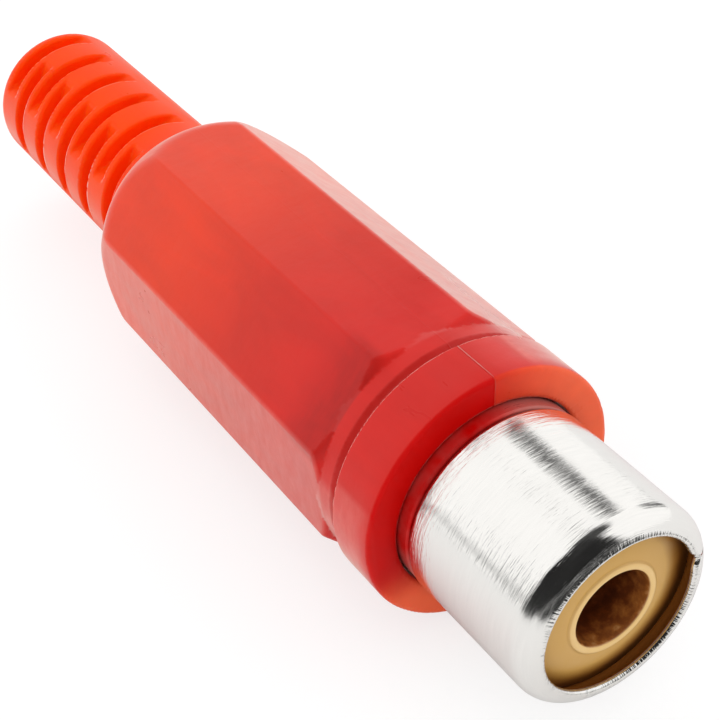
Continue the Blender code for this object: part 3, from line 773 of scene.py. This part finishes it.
def drawn_shell(name, hues):
    """Deep-drawn steel, nickel plated: a bright mirror with fine lines and a creased lip.

    The creases are 0.08 mm apart round the mouth. They come from bending the sheet's edge in,
    and give the mouth a fine pale serration.
    """
    material, tree, shader = bright_metal(name, tuple(hues.nickel), 0.06, 0.2, 0.000012)
    place = add(tree, "ShaderNodeTexCoord").outputs["Object"]
    _, parts, radius = from_axis(tree, place)
    section = add(tree, "ShaderNodeCombineXYZ", Y=parts["Y"], Z=parts["Z"]).outputs["Vector"]
    spoke = add(tree, "ShaderNodeVectorMath", {"operation": "NORMALIZE"}, in0=section).outputs["Vector"]
    crease = add(tree, "ShaderNodeTexNoise", Vector=spoke, Scale=42.0, Detail=2.0).outputs["Fac"]
    at_mouth = add(tree, "ShaderNodeMapRange", SMOOTH, Value=radius, From_Min=0.00335,
                   From_Max=0.0037, To_Min=1.0, To_Max=0.0).outputs["Result"]
    height = add(tree, "ShaderNodeMath", TIMES, in0=crease, in1=at_mouth).outputs["Value"]
    lines = shader.inputs["Normal"].links[0].from_socket
    bump = add(tree, "ShaderNodeBump", Strength=1.0, Distance=0.00004, Height=height, Normal=lines)
    tree.links.new(bump.outputs["Normal"], shader.inputs["Normal"])

    # the lip's inner side, less than 0.7 mm from the middle of its bend, is coloured brown and is less
    # metallic
    off_radius = add(tree, "ShaderNodeMath", LESS, in0=radius, in1=0.00325).outputs["Value"]
    off_depth = add(tree, "ShaderNodeMath", LESS, in0=parts["X"], in1=0.0216).outputs["Value"]
    apart = add(tree, "ShaderNodeCombineXYZ", X=off_radius, Y=off_depth).outputs["Vector"]
    apart = add(tree, "ShaderNodeVectorMath", SIZE_OF, in0=apart).outputs["Value"]
    tinted_zone = add(tree, "ShaderNodeMapRange", Value=apart, From_Min=0.00066, From_Max=0.00072,
                To_Min=1.0, To_Max=0.0).outputs["Result"]
    bright = shader.inputs["Base Color"].links[0].from_socket
    mixed = add(tree, "ShaderNodeMix", BLEND, in0=tinted_zone, in6=bright, in7=linear("#B0682A")).outputs[2]
    tree.links.new(mixed, shader.inputs["Base Color"])
    dull = add(tree, "ShaderNodeMapRange", Value=tinted_zone, To_Min=1.0, To_Max=0.2).outputs["Result"]
    tree.links.new(dull, shader.inputs["Metallic"])
    return material


def turned_bush(name, hues):
    """Turned brass, nickel plated: softer than the shell, with a painted reflection of the red collar on its
    flange.
    """
    material, tree, shader = bright_metal(name, tuple(hues.bush), 0.25, 0.45, 0.000004)
    place = add(tree, "ShaderNodeTexCoord").outputs["Object"]
    centred, parts, _ = from_axis(tree, place)
    at_flange = add(tree, "ShaderNodeMapRange", Value=parts["X"], From_Min=0.0144,
                    From_Max=0.0146).outputs["Result"]
    # the painted reflection is a little thinner in clouds of about 0.7 mm
    cloud = add(tree, "ShaderNodeTexNoise", Vector=place, Scale=1500.0, Detail=3.0).outputs["Fac"]
    spread = add(tree, "ShaderNodeMapRange", Value=cloud, From_Min=0.3, From_Max=0.7, To_Min=0.93,
                 To_Max=1.0).outputs["Result"]
    tinted_zone = add(tree, "ShaderNodeMath", TIMES, in0=at_flange, in1=spread).outputs["Value"]
    # on the upper near side the painted reflection takes the crimson of the collar's shaded face
    near_up = add(tree, "ShaderNodeVectorMath", TOWARDS, in0=centred, in1=(0.0, -0.7, 0.7)).outputs["Value"]
    crimson = add(tree, "ShaderNodeMapRange", SMOOTH, Value=near_up, From_Min=0.0014,
                  From_Max=0.0032).outputs["Result"]
    flange_reflection = add(tree, "ShaderNodeMix", BLEND, in0=crimson, in6=tuple(hues.flange),
                  in7=tuple(hues.shaded_face_red)).outputs[2]
    bright = shader.inputs["Base Color"].links[0].from_socket
    mixed = add(tree, "ShaderNodeMix", BLEND, in0=tinted_zone, in6=bright, in7=flange_reflection).outputs[2]
    tree.links.new(mixed, shader.inputs["Base Color"])
    dull = add(tree, "ShaderNodeMapRange", Value=tinted_zone, To_Min=1.0, To_Max=0.3).outputs["Result"]
    tree.links.new(dull, shader.inputs["Metallic"])
    shader.inputs["Specular IOR Level"].default_value = 0.15
    return material


def phenolic_face(name, hues):
    """Moulded tan phenolic: satin, with a painted highlight on the raised ring, painted shade towards the
    shell and in the bore, and a lighter brown line at the outer edge.
    """
    material, tree, shader = blank_material(name)
    place = add(tree, "ShaderNodeTexCoord").outputs["Object"]
    centred, parts, radius = from_axis(tree, place)
    # painted shade darkens the disc towards the shell; its edge wanders by 0.12 mm, and it reaches further
    # in at the low far side
    wander = add(tree, "ShaderNodeTexNoise", Vector=place, Scale=900.0, Detail=4.0).outputs["Fac"]
    shift = add(tree, "ShaderNodeMapRange", Value=wander, To_Min=-0.00012,
                To_Max=0.00012).outputs["Result"]
    low_side = add(tree, "ShaderNodeVectorMath", TOWARDS, in0=centred, in1=(0.0, 0.7, -0.7)).outputs["Value"]
    shade_drift = add(tree, "ShaderNodeMath", TIMES, in0=low_side, in1=0.26).outputs["Value"]
    where = add(tree, "ShaderNodeMath", PLUS, in0=radius, in1=shift).outputs["Value"]
    where = add(tree, "ShaderNodeMath", PLUS, in0=where, in1=shade_drift).outputs["Value"]
    part = add(tree, "ShaderNodeMapRange", Value=where, From_Min=0.0016, From_Max=0.0042).outputs["Result"]
    tan, pale, rim_brown = tuple(hues.phenolic), tuple(hues.ring_highlight), linear("#9A6428")
    honey, brown, dark, darkest = (linear(tone) for tone in ("#A06E2E", "#6E4214", "#4A2A0C", "#3A2208"))
    # painted shade: the tan turns brown and dark towards the shell
    face = add(tree, "ShaderNodeValToRGB",
               {"stops": [(0.0, tan), (0.45, tan), (0.66, honey), (0.8, brown), (0.92, dark),
                          (1.0, darkest)]}, Fac=part).outputs["Color"]
    # painted highlight: the raised ring at the pin hole is pale
    ring = between(tree, radius, 0.00158, 0.00192, 0.00005)
    face = add(tree, "ShaderNodeMix", BLEND, in0=ring, in6=face, in7=pale).outputs[2]
    rim = add(tree, "ShaderNodeMapRange", Value=radius, From_Min=0.00368,
              From_Max=0.00376).outputs["Result"]
    face = add(tree, "ShaderNodeMix", BLEND, in0=rim, in6=face, in7=rim_brown).outputs[2]

    # painted shade darkens the bore, paler towards the mouth where light reaches, with soft specks about 0.4
    # mm across
    specks = add(tree, "ShaderNodeTexNoise", Vector=place, Scale=2600.0, Detail=4.0,
                 Roughness=0.6).outputs["Fac"]
    spread = add(tree, "ShaderNodeMapRange", Value=specks, From_Min=0.4, From_Max=0.75, To_Min=0.0,
                 To_Max=0.45).outputs["Result"]
    to_mouth = add(tree, "ShaderNodeMapRange", SMOOTH, Value=parts["X"], From_Min=0.0203,
                   From_Max=0.0222, To_Min=0.0, To_Max=0.5).outputs["Result"]
    both = add(tree, "ShaderNodeMath", PLUS, in0=spread, in1=to_mouth).outputs["Value"]
    umber, chestnut, amber, straw = (linear(tone) for tone in ("#4A1C06", "#6E3210", "#A8642A", "#D8A468"))
    bore = add(tree, "ShaderNodeValToRGB",
               {"stops": [(0.0, umber), (0.3, chestnut), (0.65, amber), (1.0, straw)]},
               Fac=both).outputs["Color"]
    inside = add(tree, "ShaderNodeMapRange", Value=radius, From_Min=0.001625, From_Max=0.00166,
                 To_Min=1.0, To_Max=0.0).outputs["Result"]
    both = add(tree, "ShaderNodeMix", BLEND, in0=inside, in6=face, in7=bore).outputs[2]
    tree.links.new(both, shader.inputs["Base Color"])
    grain = add(tree, "ShaderNodeTexNoise", Vector=place, Scale=6000.0, Detail=3.0).outputs["Fac"]
    bump = add(tree, "ShaderNodeBump", Strength=0.3, Distance=0.000008, Height=grain)
    tree.links.new(bump.outputs["Normal"], shader.inputs["Normal"])
    rough = add(tree, "ShaderNodeMapRange", Value=wander, From_Min=0.3, From_Max=0.7, To_Min=0.3,
                To_Max=0.45).outputs["Result"]
    tree.links.new(rough, shader.inputs["Roughness"])
    shader.inputs["IOR"].default_value = 1.55
    return material


def fibre_board(name, tone):
    """Vulcanised fibre, punched from sheet: matt, mottled by its paper fibres of about 0.5 mm."""
    material, tree, shader = blank_material(name)
    place = add(tree, "ShaderNodeTexCoord").outputs["Object"]
    fibres = add(tree, "ShaderNodeTexNoise", Vector=place, Scale=1800.0, Detail=5.0,
                 Roughness=0.65).outputs["Fac"]
    spread = add(tree, "ShaderNodeMapRange", Value=fibres, From_Min=0.3, From_Max=0.62, To_Min=0.4,
                 To_Max=1.0).outputs["Result"]
    mixed = add(tree, "ShaderNodeMix", DARKEN, in0=1.0, in6=tone, in7=spread).outputs[2]
    tree.links.new(mixed, shader.inputs["Base Color"])
    rough = add(tree, "ShaderNodeMapRange", Value=fibres, From_Min=0.3, From_Max=0.7, To_Min=0.5,
                To_Max=0.7).outputs["Result"]
    tree.links.new(rough, shader.inputs["Roughness"])
    bump = add(tree, "ShaderNodeBump", Strength=0.3, Distance=0.00001, Height=fibres)
    tree.links.new(bump.outputs["Normal"], shader.inputs["Normal"])
    shader.inputs["IOR"].default_value = 1.5
    return material


# Pieces


class PHONO_OT_handle(bpy.types.Operator):
    """Makes the moulded handle with its grip and slotted boot"""
    bl_idname = "phono.handle"
    bl_label = "Handle"

    def execute(self, context):
        """Contours the handle's field on a grid that is finer at the collar and the boot.

        The runs of grid lines are the boot, the shoulder, the plain grip, the grip's front, the
        groove with the collar's rear edge, and the collar.
        """
        size = sizes(context.scene.phono_handle)
        hues = context.scene.phono_colours
        half = OVERALL / 2
        collar_rear = half - size["collar_front"] - size["collar_length"]
        xs = spaced((-half - 0.15, -9.0, 0.15), (-9.0, -5.4, 0.2), (-5.4, 9.0, 0.36),
                    (9.0, collar_rear - 0.36, 0.14), (collar_rear - 0.36, collar_rear + 0.18, 0.06),
                    (collar_rear + 0.18, half - size["collar_front"] + 0.15, 0.12))
        reach = size["collar_dia"] / 2 + 0.14
        across = np.linspace(-reach, reach, 75)
        points, faces, normals = contour(handle_field(size), xs, across, across + AXIS_Z)
        red = moulded_red("moulded_red_abs", hues)
        make_piece("handle_moulding", points * MM, faces, red, "handle", "cover", normals)
        return {"FINISHED"}


class PHONO_OT_shell(bpy.types.Operator):
    """Makes the plated outer contact with its turned-in lip and seam"""
    bl_idname = "phono.shell"
    bl_label = "Shell"

    def execute(self, context):
        """Carries the section of the sheet round the axis from one side of the seam to the other."""
        size = sizes(context.scene.phono_jack)
        hues = context.scene.phono_colours
        points, faces = shell_surface(size)
        nickel = drawn_shell("polished_nickel_plate", hues)
        make_piece("shell_plated", points, faces, nickel, "shell", "jack")
        return {"FINISHED"}


def shell_surface(size, columns=260):
    """The sheet's section carried round the axis.

    Across the sheet, the outer side runs from the rear edge along the tube and round the lip,
    the inner side runs back at the sheet's thickness, and both ends are rounded. Round the axis,
    the columns run from one side of the seam to the other. Near the seam the lip stops short,
    as where the corners of the sheet were nipped off.
    """
    outer_r = size["shell_dia"] / 2
    sheet, lip = size["shell_sheet"], size["lip_radius"]
    half_gap = size["seam_width"] / 2 / outer_r
    turn = math.radians(SEAM_ANGLE) + np.linspace(half_gap, 2 * np.pi - half_gap, columns)
    from_seam = np.minimum(turn - turn[0], turn[-1] - turn)
    nip = np.exp(-(from_seam / 0.075) ** 2)
    # a hair less than half the sheet, so that the rounds of the two sides never meet
    edge = (sheet / 2) * 0.999
    mid_r = outer_r - sheet / 2
    mid_lip = lip - sheet / 2
    centre_r = outer_r - lip

    # the run along the middle of the sheet: straight tube, then the lip's quarter turn
    straight = size["shell_length"] - lip - edge
    curve_end = math.radians(90.0) - edge / mid_lip - nip * 0.3
    along = np.concatenate([np.linspace(0.0, 1.0, 52)[:-1] ** 1.6, 1.0 + np.linspace(0.0, 1.0, 25)])
    tube = np.clip(along, 0.0, 1.0)[:, None]
    bend = np.clip(along - 1.0, 0.0, 1.0)[:, None] * curve_end[None, :]
    depth = np.where(along[:, None] <= 1.0, size["shell_length"] - edge - straight * tube,
                     lip - mid_lip * np.sin(bend))
    # the rear edge is flared a little, as drawn shells are where they were trimmed
    flare = size["flare"] * np.clip((depth - (size["shell_length"] - 0.55)) / 0.4, 0.0, 1.0) ** 1.5
    radius = np.where(along[:, None] <= 1.0, mid_r + flare, centre_r + mid_lip * np.cos(bend))
    out_r, out_d = np.cos(bend), -np.sin(bend)
    rows_r = [radius + out_r * edge]
    rows_d = [depth + out_d * edge]
    # round the mouth edge, from the outer side to the inner side
    tip = np.linspace(0.0, np.pi, 9)[1:-1][:, None]
    on_r, on_d = -np.sin(bend[-1]), -np.cos(bend[-1])
    rows_r.append(radius[-1] + edge * (np.cos(tip) * out_r[-1] + np.sin(tip) * on_r))
    rows_d.append(depth[-1] + edge * (np.cos(tip) * out_d[-1] + np.sin(tip) * on_d))
    rows_r.append((radius - out_r * edge)[::-1])
    rows_d.append((depth - out_d * edge)[::-1])
    # round the rear edge, from the inner side to the outer side
    back = np.linspace(0.0, np.pi, 7)[1:-1][:, None]
    rows_r.append(radius[0] - edge * np.cos(back))
    rows_d.append(np.broadcast_to(size["shell_length"] - edge + edge * np.sin(back),
                                  (len(back), columns)))
    radius, depth = np.concatenate(rows_r), np.concatenate(rows_d)
    rows = len(radius)
    points = to_world(radius, depth, turn[None, :])
    faces = grid_faces(rows, columns, close_rows=True)
    # the two cut ends: each outer row is joined to its inner row across the sheet, from the
    # middle of the rear round to the middle of the mouth's
    lower = np.arange(rows // 2)
    upper = rows - 1 - lower
    shift = len(back) // 2
    outer = (lower + rows - shift) % rows
    inner = (upper + rows - shift) % rows
    caps = []
    for column, flip in ((0, False), (columns - 1, True)):
        quad = np.stack([outer[:-1], outer[1:], inner[1:], inner[:-1]], axis=1) * columns + column
        caps.append(quad[:, ::-1] if flip else quad)
    return points, np.concatenate([faces] + caps)


class PHONO_OT_bush(bpy.types.Operator):
    """Makes the turned and threaded bush"""
    bl_idname = "phono.bush"
    bl_label = "Threaded bush"

    def execute(self, context):
        """Turns the bush's outline, with a helical thread cut into its barrel."""
        size = sizes(context.scene.phono_jack)
        hues = context.scene.phono_colours
        spigot_front, flange_front, flange_rear, relief_rear = 4.6, 6.92, 7.97, 8.22
        flange_r, relief_r, thread_r = 4.12, 3.55, size["thread_dia"] / 2
        thread_rear, chamfer = 12.62, 0.25
        rivet_r, rivet_flare_r, flare_front, rivet_rear = 2.75, 3.2, 13.28, 13.63
        bore_r, rivet_bore_r, rivet_bore_front = 2.9, 2.25, 11.42
        # each corner's radius, depth and rounding
        corners = np.array([
            (SPIGOT_R, spigot_front, 0.08), (SPIGOT_R, flange_front, 0.05),
            (flange_r, flange_front, 0.12), (flange_r, flange_rear, 0.12),
            (relief_r, flange_rear, 0.05), (relief_r, relief_rear, 0.05),
            (thread_r, relief_rear + chamfer, 0.05), (thread_r, thread_rear - chamfer, 0.08),
            (thread_r - chamfer, thread_rear, 0.05), (rivet_r, thread_rear, 0.05),
            (rivet_r, flare_front, 0.05), (rivet_flare_r, flare_front, 0.15),
            (rivet_flare_r, rivet_rear, 0.15), (rivet_bore_r, rivet_rear, 0.08),
            (rivet_bore_r, rivet_bore_front, 0.04), (bore_r, rivet_bore_front, 0.04),
            (bore_r, spigot_front, 0.08)])
        outline = resample(rounded(corners[:, :2], corners[:, 2]), 0.06)
        # the thread's cut starts and ends in the two chamfers, and stays out of the bore
        cut_front, run_in, cut_rear, run_out, innermost = 8.3, 0.3, 12.58, 0.2, 3.3

        def thread(radius, depth, turn):
            """Cuts a groove whose depth follows a flattened triangle wave of depth less turn."""
            wave = np.abs(((depth / THREAD_PITCH - turn / (2 * np.pi)) % 1.0) * 2 - 1)
            groove = np.clip(wave * 1.25 - 0.12, 0.0, 1.0) * size["thread_depth"]
            fade = (np.clip((depth - cut_front) / run_in, 0.0, 1.0)
                    * np.clip((cut_rear - depth) / run_out, 0.0, 1.0))
            return -np.where(radius > innermost, groove * fade, 0.0)

        points, faces = turned(outline, 180, thread)
        metal = turned_bush("turned_nickel_on_brass", hues)
        make_piece("bush_turned", points, faces, metal, "threaded_bush", "jack")
        return {"FINISHED"}


class PHONO_OT_insulators(bpy.types.Operator):
    """Makes the tan mating face and gives the fibre washer its finish"""
    bl_idname = "phono.insulators"
    bl_label = "Insulators"

    def execute(self, context):
        """Turns the front insulator's outline with its rounded ring and sloping disc."""
        size = sizes(context.scene.phono_jack)
        hues = context.scene.phono_colours
        hole = size["pin_hole"] / 2
        tail_r, socket_r = 2.78, 2.25
        spigot_rear, tail_rear, socket_front = 4.48, 6.68, 2.52
        # the ring is half an ellipse, and the disc falls with the 1.8th power of the way outwards
        part = np.linspace(0.0, 1.0, 17)
        crown = 1 - np.sqrt(1 - (2 * part - 1) ** 2)
        ring = np.stack([hole + size["ring_width"] * part,
                         size["ring_depth"] + size["ring_height"] * crown], axis=1)
        foot_r, foot = hole + size["ring_width"], size["ring_depth"] + size["ring_height"]
        part = np.linspace(0.0, 1.0, 24)[1:]
        disc = np.stack([foot_r + (SPIGOT_R - foot_r) * part,
                         foot + size["disc_fall"] * part ** 1.8], axis=1)
        rest = [(SPIGOT_R, spigot_rear), (tail_r, spigot_rear), (tail_r, tail_rear),
                (socket_r, tail_rear), (socket_r, socket_front), (hole, socket_front)]
        outline = resample(np.concatenate([ring, disc, rest]), 0.12)
        points, faces = turned(outline, 144)
        tan = phenolic_face("moulded_tan_phenolic", hues)
        make_piece("insulator_face", points, faces, tan, "front_insulator", "jack")
        fibre = fibre_board("brown_vulcanised_fibre", tuple(hues.fibre))
        dress("rear_insulator", fibre)
        return {"FINISHED"}


class PHONO_OT_contacts(bpy.types.Operator):
    """Gives the centre contact and the earth tag their finishes"""
    bl_idname = "phono.contacts"
    bl_label = "Contacts"

    def execute(self, context):
        """Dresses the two pieces of metal that lie inside the handle."""
        hues = context.scene.phono_colours
        # drawn brass, left bare: warm yellow, softly lined
        brass, _, _ = bright_metal("drawn_bare_brass", tuple(hues.brass), 0.22, 0.4, 0.000003)
        dress("centre_contact", brass)
        # punched strip steel, tinned: a greyer and duller white than nickel
        tin, _, _ = bright_metal("tinned_steel_strip", tuple(hues.tin), 0.25, 0.45, 0.000003)
        dress("earth_tag", tin)
        return {"FINISHED"}


def dress(node, material):
    """Assigns a material to every slot of a CAD node's object."""
    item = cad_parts[node]
    if not item.material_slots:
        raise RuntimeError(f"{node} has no material slot")
    for slot in item.material_slots:
        slot.material = material


# Stage


class PHONO_OT_stage(bpy.types.Operator):
    """Makes the floor, the light and the camera"""
    bl_idname = "phono.stage"
    bl_label = "Stage"

    def execute(self, context):
        """Sets a white floor and surround and the camera of the photograph."""
        stage = context.scene.phono_stage
        build_floor(tuple(stage.floor_colour))
        build_world()
        build_camera(stage.focal_length)
        return {"FINISHED"}


def build_floor(white):
    """A white sheet that catches the shadow, and that ends a little in front of the object.

    The camera sees it white all over. In reflections the ground beyond its front edge is dark,
    as in the photograph, where the plated lip and the collar's face mirror a dark foreground.
    """
    side = 0.6
    corners = np.array([(-side, -side, 0.0), (side, -side, 0.0), (side, side, 0.0), (-side, side, 0.0)])
    mesh = bpy.data.meshes.new("floor_sheet")
    mesh.from_pydata(corners.tolist(), [], [(0, 1, 2, 3)])
    material, tree, shader = blank_material("white_paper_sweep")
    place = add(tree, "ShaderNodeTexCoord").outputs["Object"]
    grain = add(tree, "ShaderNodeTexNoise", Vector=place, Scale=900.0, Detail=4.0)
    bump = add(tree, "ShaderNodeBump", Strength=0.05, Distance=0.0001, Height=grain.outputs["Fac"])
    tree.links.new(bump.outputs["Normal"], shader.inputs["Normal"])
    ray = add(tree, "ShaderNodeLightPath").outputs
    # distance beyond the sheet's slanted front edge
    ahead = add(tree, "ShaderNodeVectorMath", TOWARDS, in0=place, in1=(0.81, 0.586, 0.0)).outputs["Value"]
    beyond = add(tree, "ShaderNodeMapRange", SMOOTH, Value=ahead, From_Min=0.027,
                 From_Max=0.031).outputs["Result"]
    aside = add(tree, "ShaderNodeVectorMath", TOWARDS, in0=place, in1=(-0.5, 0.866, 0.0)).outputs["Value"]
    this_side = add(tree, "ShaderNodeMapRange", SMOOTH, Value=aside, From_Min=-0.008,
                    From_Max=-0.004, To_Min=1.0, To_Max=0.0).outputs["Result"]
    dark = add(tree, "ShaderNodeMath", TIMES, in0=beyond, in1=this_side).outputs["Value"]
    dark = add(tree, "ShaderNodeMath", TIMES, in0=dark, in1=ray["Is Glossy Ray"])
    seen = add(tree, "ShaderNodeMath", LARGER, in0=ray["Is Camera Ray"],
               in1=ray["Is Transmission Ray"]).outputs["Value"]
    # most of the white that the camera sees is plain, and a third of it takes the shadow
    share = add(tree, "ShaderNodeMix", WEIGH, in0=seen, in2=0.8, in3=0.34).outputs[0]
    share = add(tree, "ShaderNodeMix", WEIGH, in0=dark.outputs["Value"], in2=share,
                in3=0.03).outputs[0]
    sheet = add(tree, "ShaderNodeMix", DARKEN, in0=1.0, in6=white,
                in7=share).outputs[2]
    tree.links.new(sheet, shader.inputs["Base Color"])
    lift = add(tree, "ShaderNodeMath", TIMES, in0=seen, in1=0.7)
    tree.links.new(lift.outputs["Value"], shader.inputs["Emission Strength"])
    shader.inputs["Emission Color"].default_value = white
    shader.inputs["Roughness"].default_value = 1.0
    shader.inputs["Specular IOR Level"].default_value = 0.0
    mesh.materials.append(material)
    item = bpy.data.objects.new("floor_sheet", mesh)
    bpy.context.scene.collection.objects.link(item)


# Dark places of the mirrored room: compass from and to, elevation from and to, all in degrees,
# then the softness of the edges and how much of the light is gone
DARK_PATCHES = ((-118.0, 27.0, 0.0, 95.0, 4.0, 0.985), (-200.0, 200.0, 66.0, 95.0, 4.0, 0.95),
                (103.0, 116.0, -14.0, 24.0, 3.0, 0.9), (128.0, 152.0, 32.0, 46.0, 2.5, 0.85),
                (-150.0, -118.0, 3.0, 9.0, 3.0, 0.35))


def build_world():
    """A white surround that lights evenly, and a darker room in its reflections.

    The room is drawn by compass direction and elevation, in degrees. It is white behind and
    to the far side, dark overhead and where the photograph was taken from, and has two dark
    edges on the far side and one soft grey strip on the near one, which the plated shell
    mirrors.
    """
    world = bpy.data.worlds.new("white_tent")
    bpy.context.scene.world = world
    world.use_nodes = True
    tree = world.node_tree
    background = tree.nodes["Background"]
    direction = add(tree, "ShaderNodeTexCoord").outputs["Generated"]
    parts = add(tree, "ShaderNodeSeparateXYZ", Vector=direction).outputs
    compass = add(tree, "ShaderNodeMath", {"operation": "ARCTAN2"}, in0=parts["Y"],
                  in1=parts["X"]).outputs["Value"]
    compass = add(tree, "ShaderNodeMath", {"operation": "DEGREES"}, in0=compass).outputs["Value"]
    height = add(tree, "ShaderNodeMath", {"operation": "ARCSINE"}, in0=parts["Z"]).outputs["Value"]
    height = add(tree, "ShaderNodeMath", {"operation": "DEGREES"}, in0=height).outputs["Value"]

    shade = 0.0
    for left, right, low, high, soft, depth in DARK_PATCHES:
        wide = between(tree, compass, left, right, soft)
        tall = between(tree, height, low, high, soft)
        patch = add(tree, "ShaderNodeMath", TIMES, in0=wide, in1=tall).outputs["Value"]
        patch = add(tree, "ShaderNodeMath", TIMES, in0=patch, in1=depth).outputs["Value"]
        shade = add(tree, "ShaderNodeMath", LARGER, in0=shade, in1=patch).outputs["Value"]
    room = add(tree, "ShaderNodeMath", LESS, in0=1.0, in1=shade).outputs["Value"]

    ray = add(tree, "ShaderNodeLightPath").outputs
    mirrored = add(tree, "ShaderNodeMath", LARGER, in0=ray["Is Glossy Ray"],
                   in1=ray["Is Transmission Ray"]).outputs["Value"]
    # the dark room is only for what the camera sees mirrored, so that the shell lights the collar
    direct = add(tree, "ShaderNodeMath", {"operation": "LESS_THAN"}, in0=ray["Diffuse Depth"],
                 in1=0.5).outputs["Value"]
    mirrored = add(tree, "ShaderNodeMath", TIMES, in0=mirrored, in1=direct).outputs["Value"]
    # a little more light comes from behind than from the front
    slope = add(tree, "ShaderNodeMapRange", Value=parts["X"], From_Min=-1.0, From_Max=1.0, To_Min=1.25,
                To_Max=0.92).outputs["Result"]
    even = add(tree, "ShaderNodeMix", WEIGH, in0=ray["Is Camera Ray"], in2=slope,
               in3=1.0).outputs[0]
    light = add(tree, "ShaderNodeMix", WEIGH, in0=mirrored, in2=even, in3=room).outputs[0]
    tree.links.new(light, background.inputs["Color"])
    background.inputs["Strength"].default_value = 1.0


def build_camera(focal_length):
    """The camera that was fitted to the rims, flats and boot in the photograph."""
    data = bpy.data.cameras.new("camera")
    data.lens = focal_length
    data.sensor_width = 36.0
    data.clip_start = 0.001
    item = bpy.data.objects.new("camera", data)
    right, down, ahead = (0.5466, 0.8332, -0.0832), (0.5060, -0.4079, -0.7600), (-0.6672, 0.3733, -0.6446)
    place = (0.04942, -0.02411, 0.04785)
    item.matrix_world = Matrix([[right[i], -down[i], -ahead[i], place[i]] for i in range(3)]
                               + [[0.0, 0.0, 0.0, 1.0]])
    bpy.context.scene.collection.objects.link(item)
    bpy.context.scene.camera = item
    bpy.context.scene.view_settings.view_transform = "Standard"


# Add-on


class PHONO_PT_sidebar(bpy.types.Panel):
    """Lists the steps and sizes of the phono socket"""
    bl_idname = "PHONO_PT_sidebar"
    bl_label = "Phono socket"
    bl_space_type = "VIEW_3D"
    bl_region_type = "UI"
    bl_category = "Phono socket"

    def draw(self, context):
        """One button for each step, then the sizes and colours that can be changed."""
        for step in STEPS:
            self.layout.operator(step.bl_idname)
        for group in ("phono_handle", "phono_jack", "phono_colours", "phono_stage"):
            owner = getattr(context.scene, group)
            box = self.layout.box()
            for key in owner.__annotations__:
                box.prop(owner, key)


GROUPS = {"phono_handle": HandleSizes, "phono_jack": JackSizes, "phono_colours": Colours,
          "phono_stage": StageSettings}
STEPS = (PHONO_OT_stage, PHONO_OT_handle, PHONO_OT_shell, PHONO_OT_bush, PHONO_OT_insulators,
         PHONO_OT_contacts)


def register():
    """Registers the groups, the operators and the panel."""
    for name, group in GROUPS.items():
        bpy.utils.register_class(group)
        setattr(bpy.types.Scene, name, PointerProperty(type=group))
    for item in STEPS + (PHONO_PT_sidebar,):
        bpy.utils.register_class(item)


def unregister():
    """Takes away all that register adds."""
    for item in (PHONO_PT_sidebar,) + STEPS[::-1]:
        bpy.utils.unregister_class(item)
    for name, group in GROUPS.items():
        delattr(bpy.types.Scene, name)
        bpy.utils.unregister_class(group)


def main():
    """Builds everything."""
    register()
    for step in STEPS:
        section, name = step.bl_idname.split(".")
        getattr(getattr(bpy.ops, section), name)()


if __name__ == "__main__":
    main()
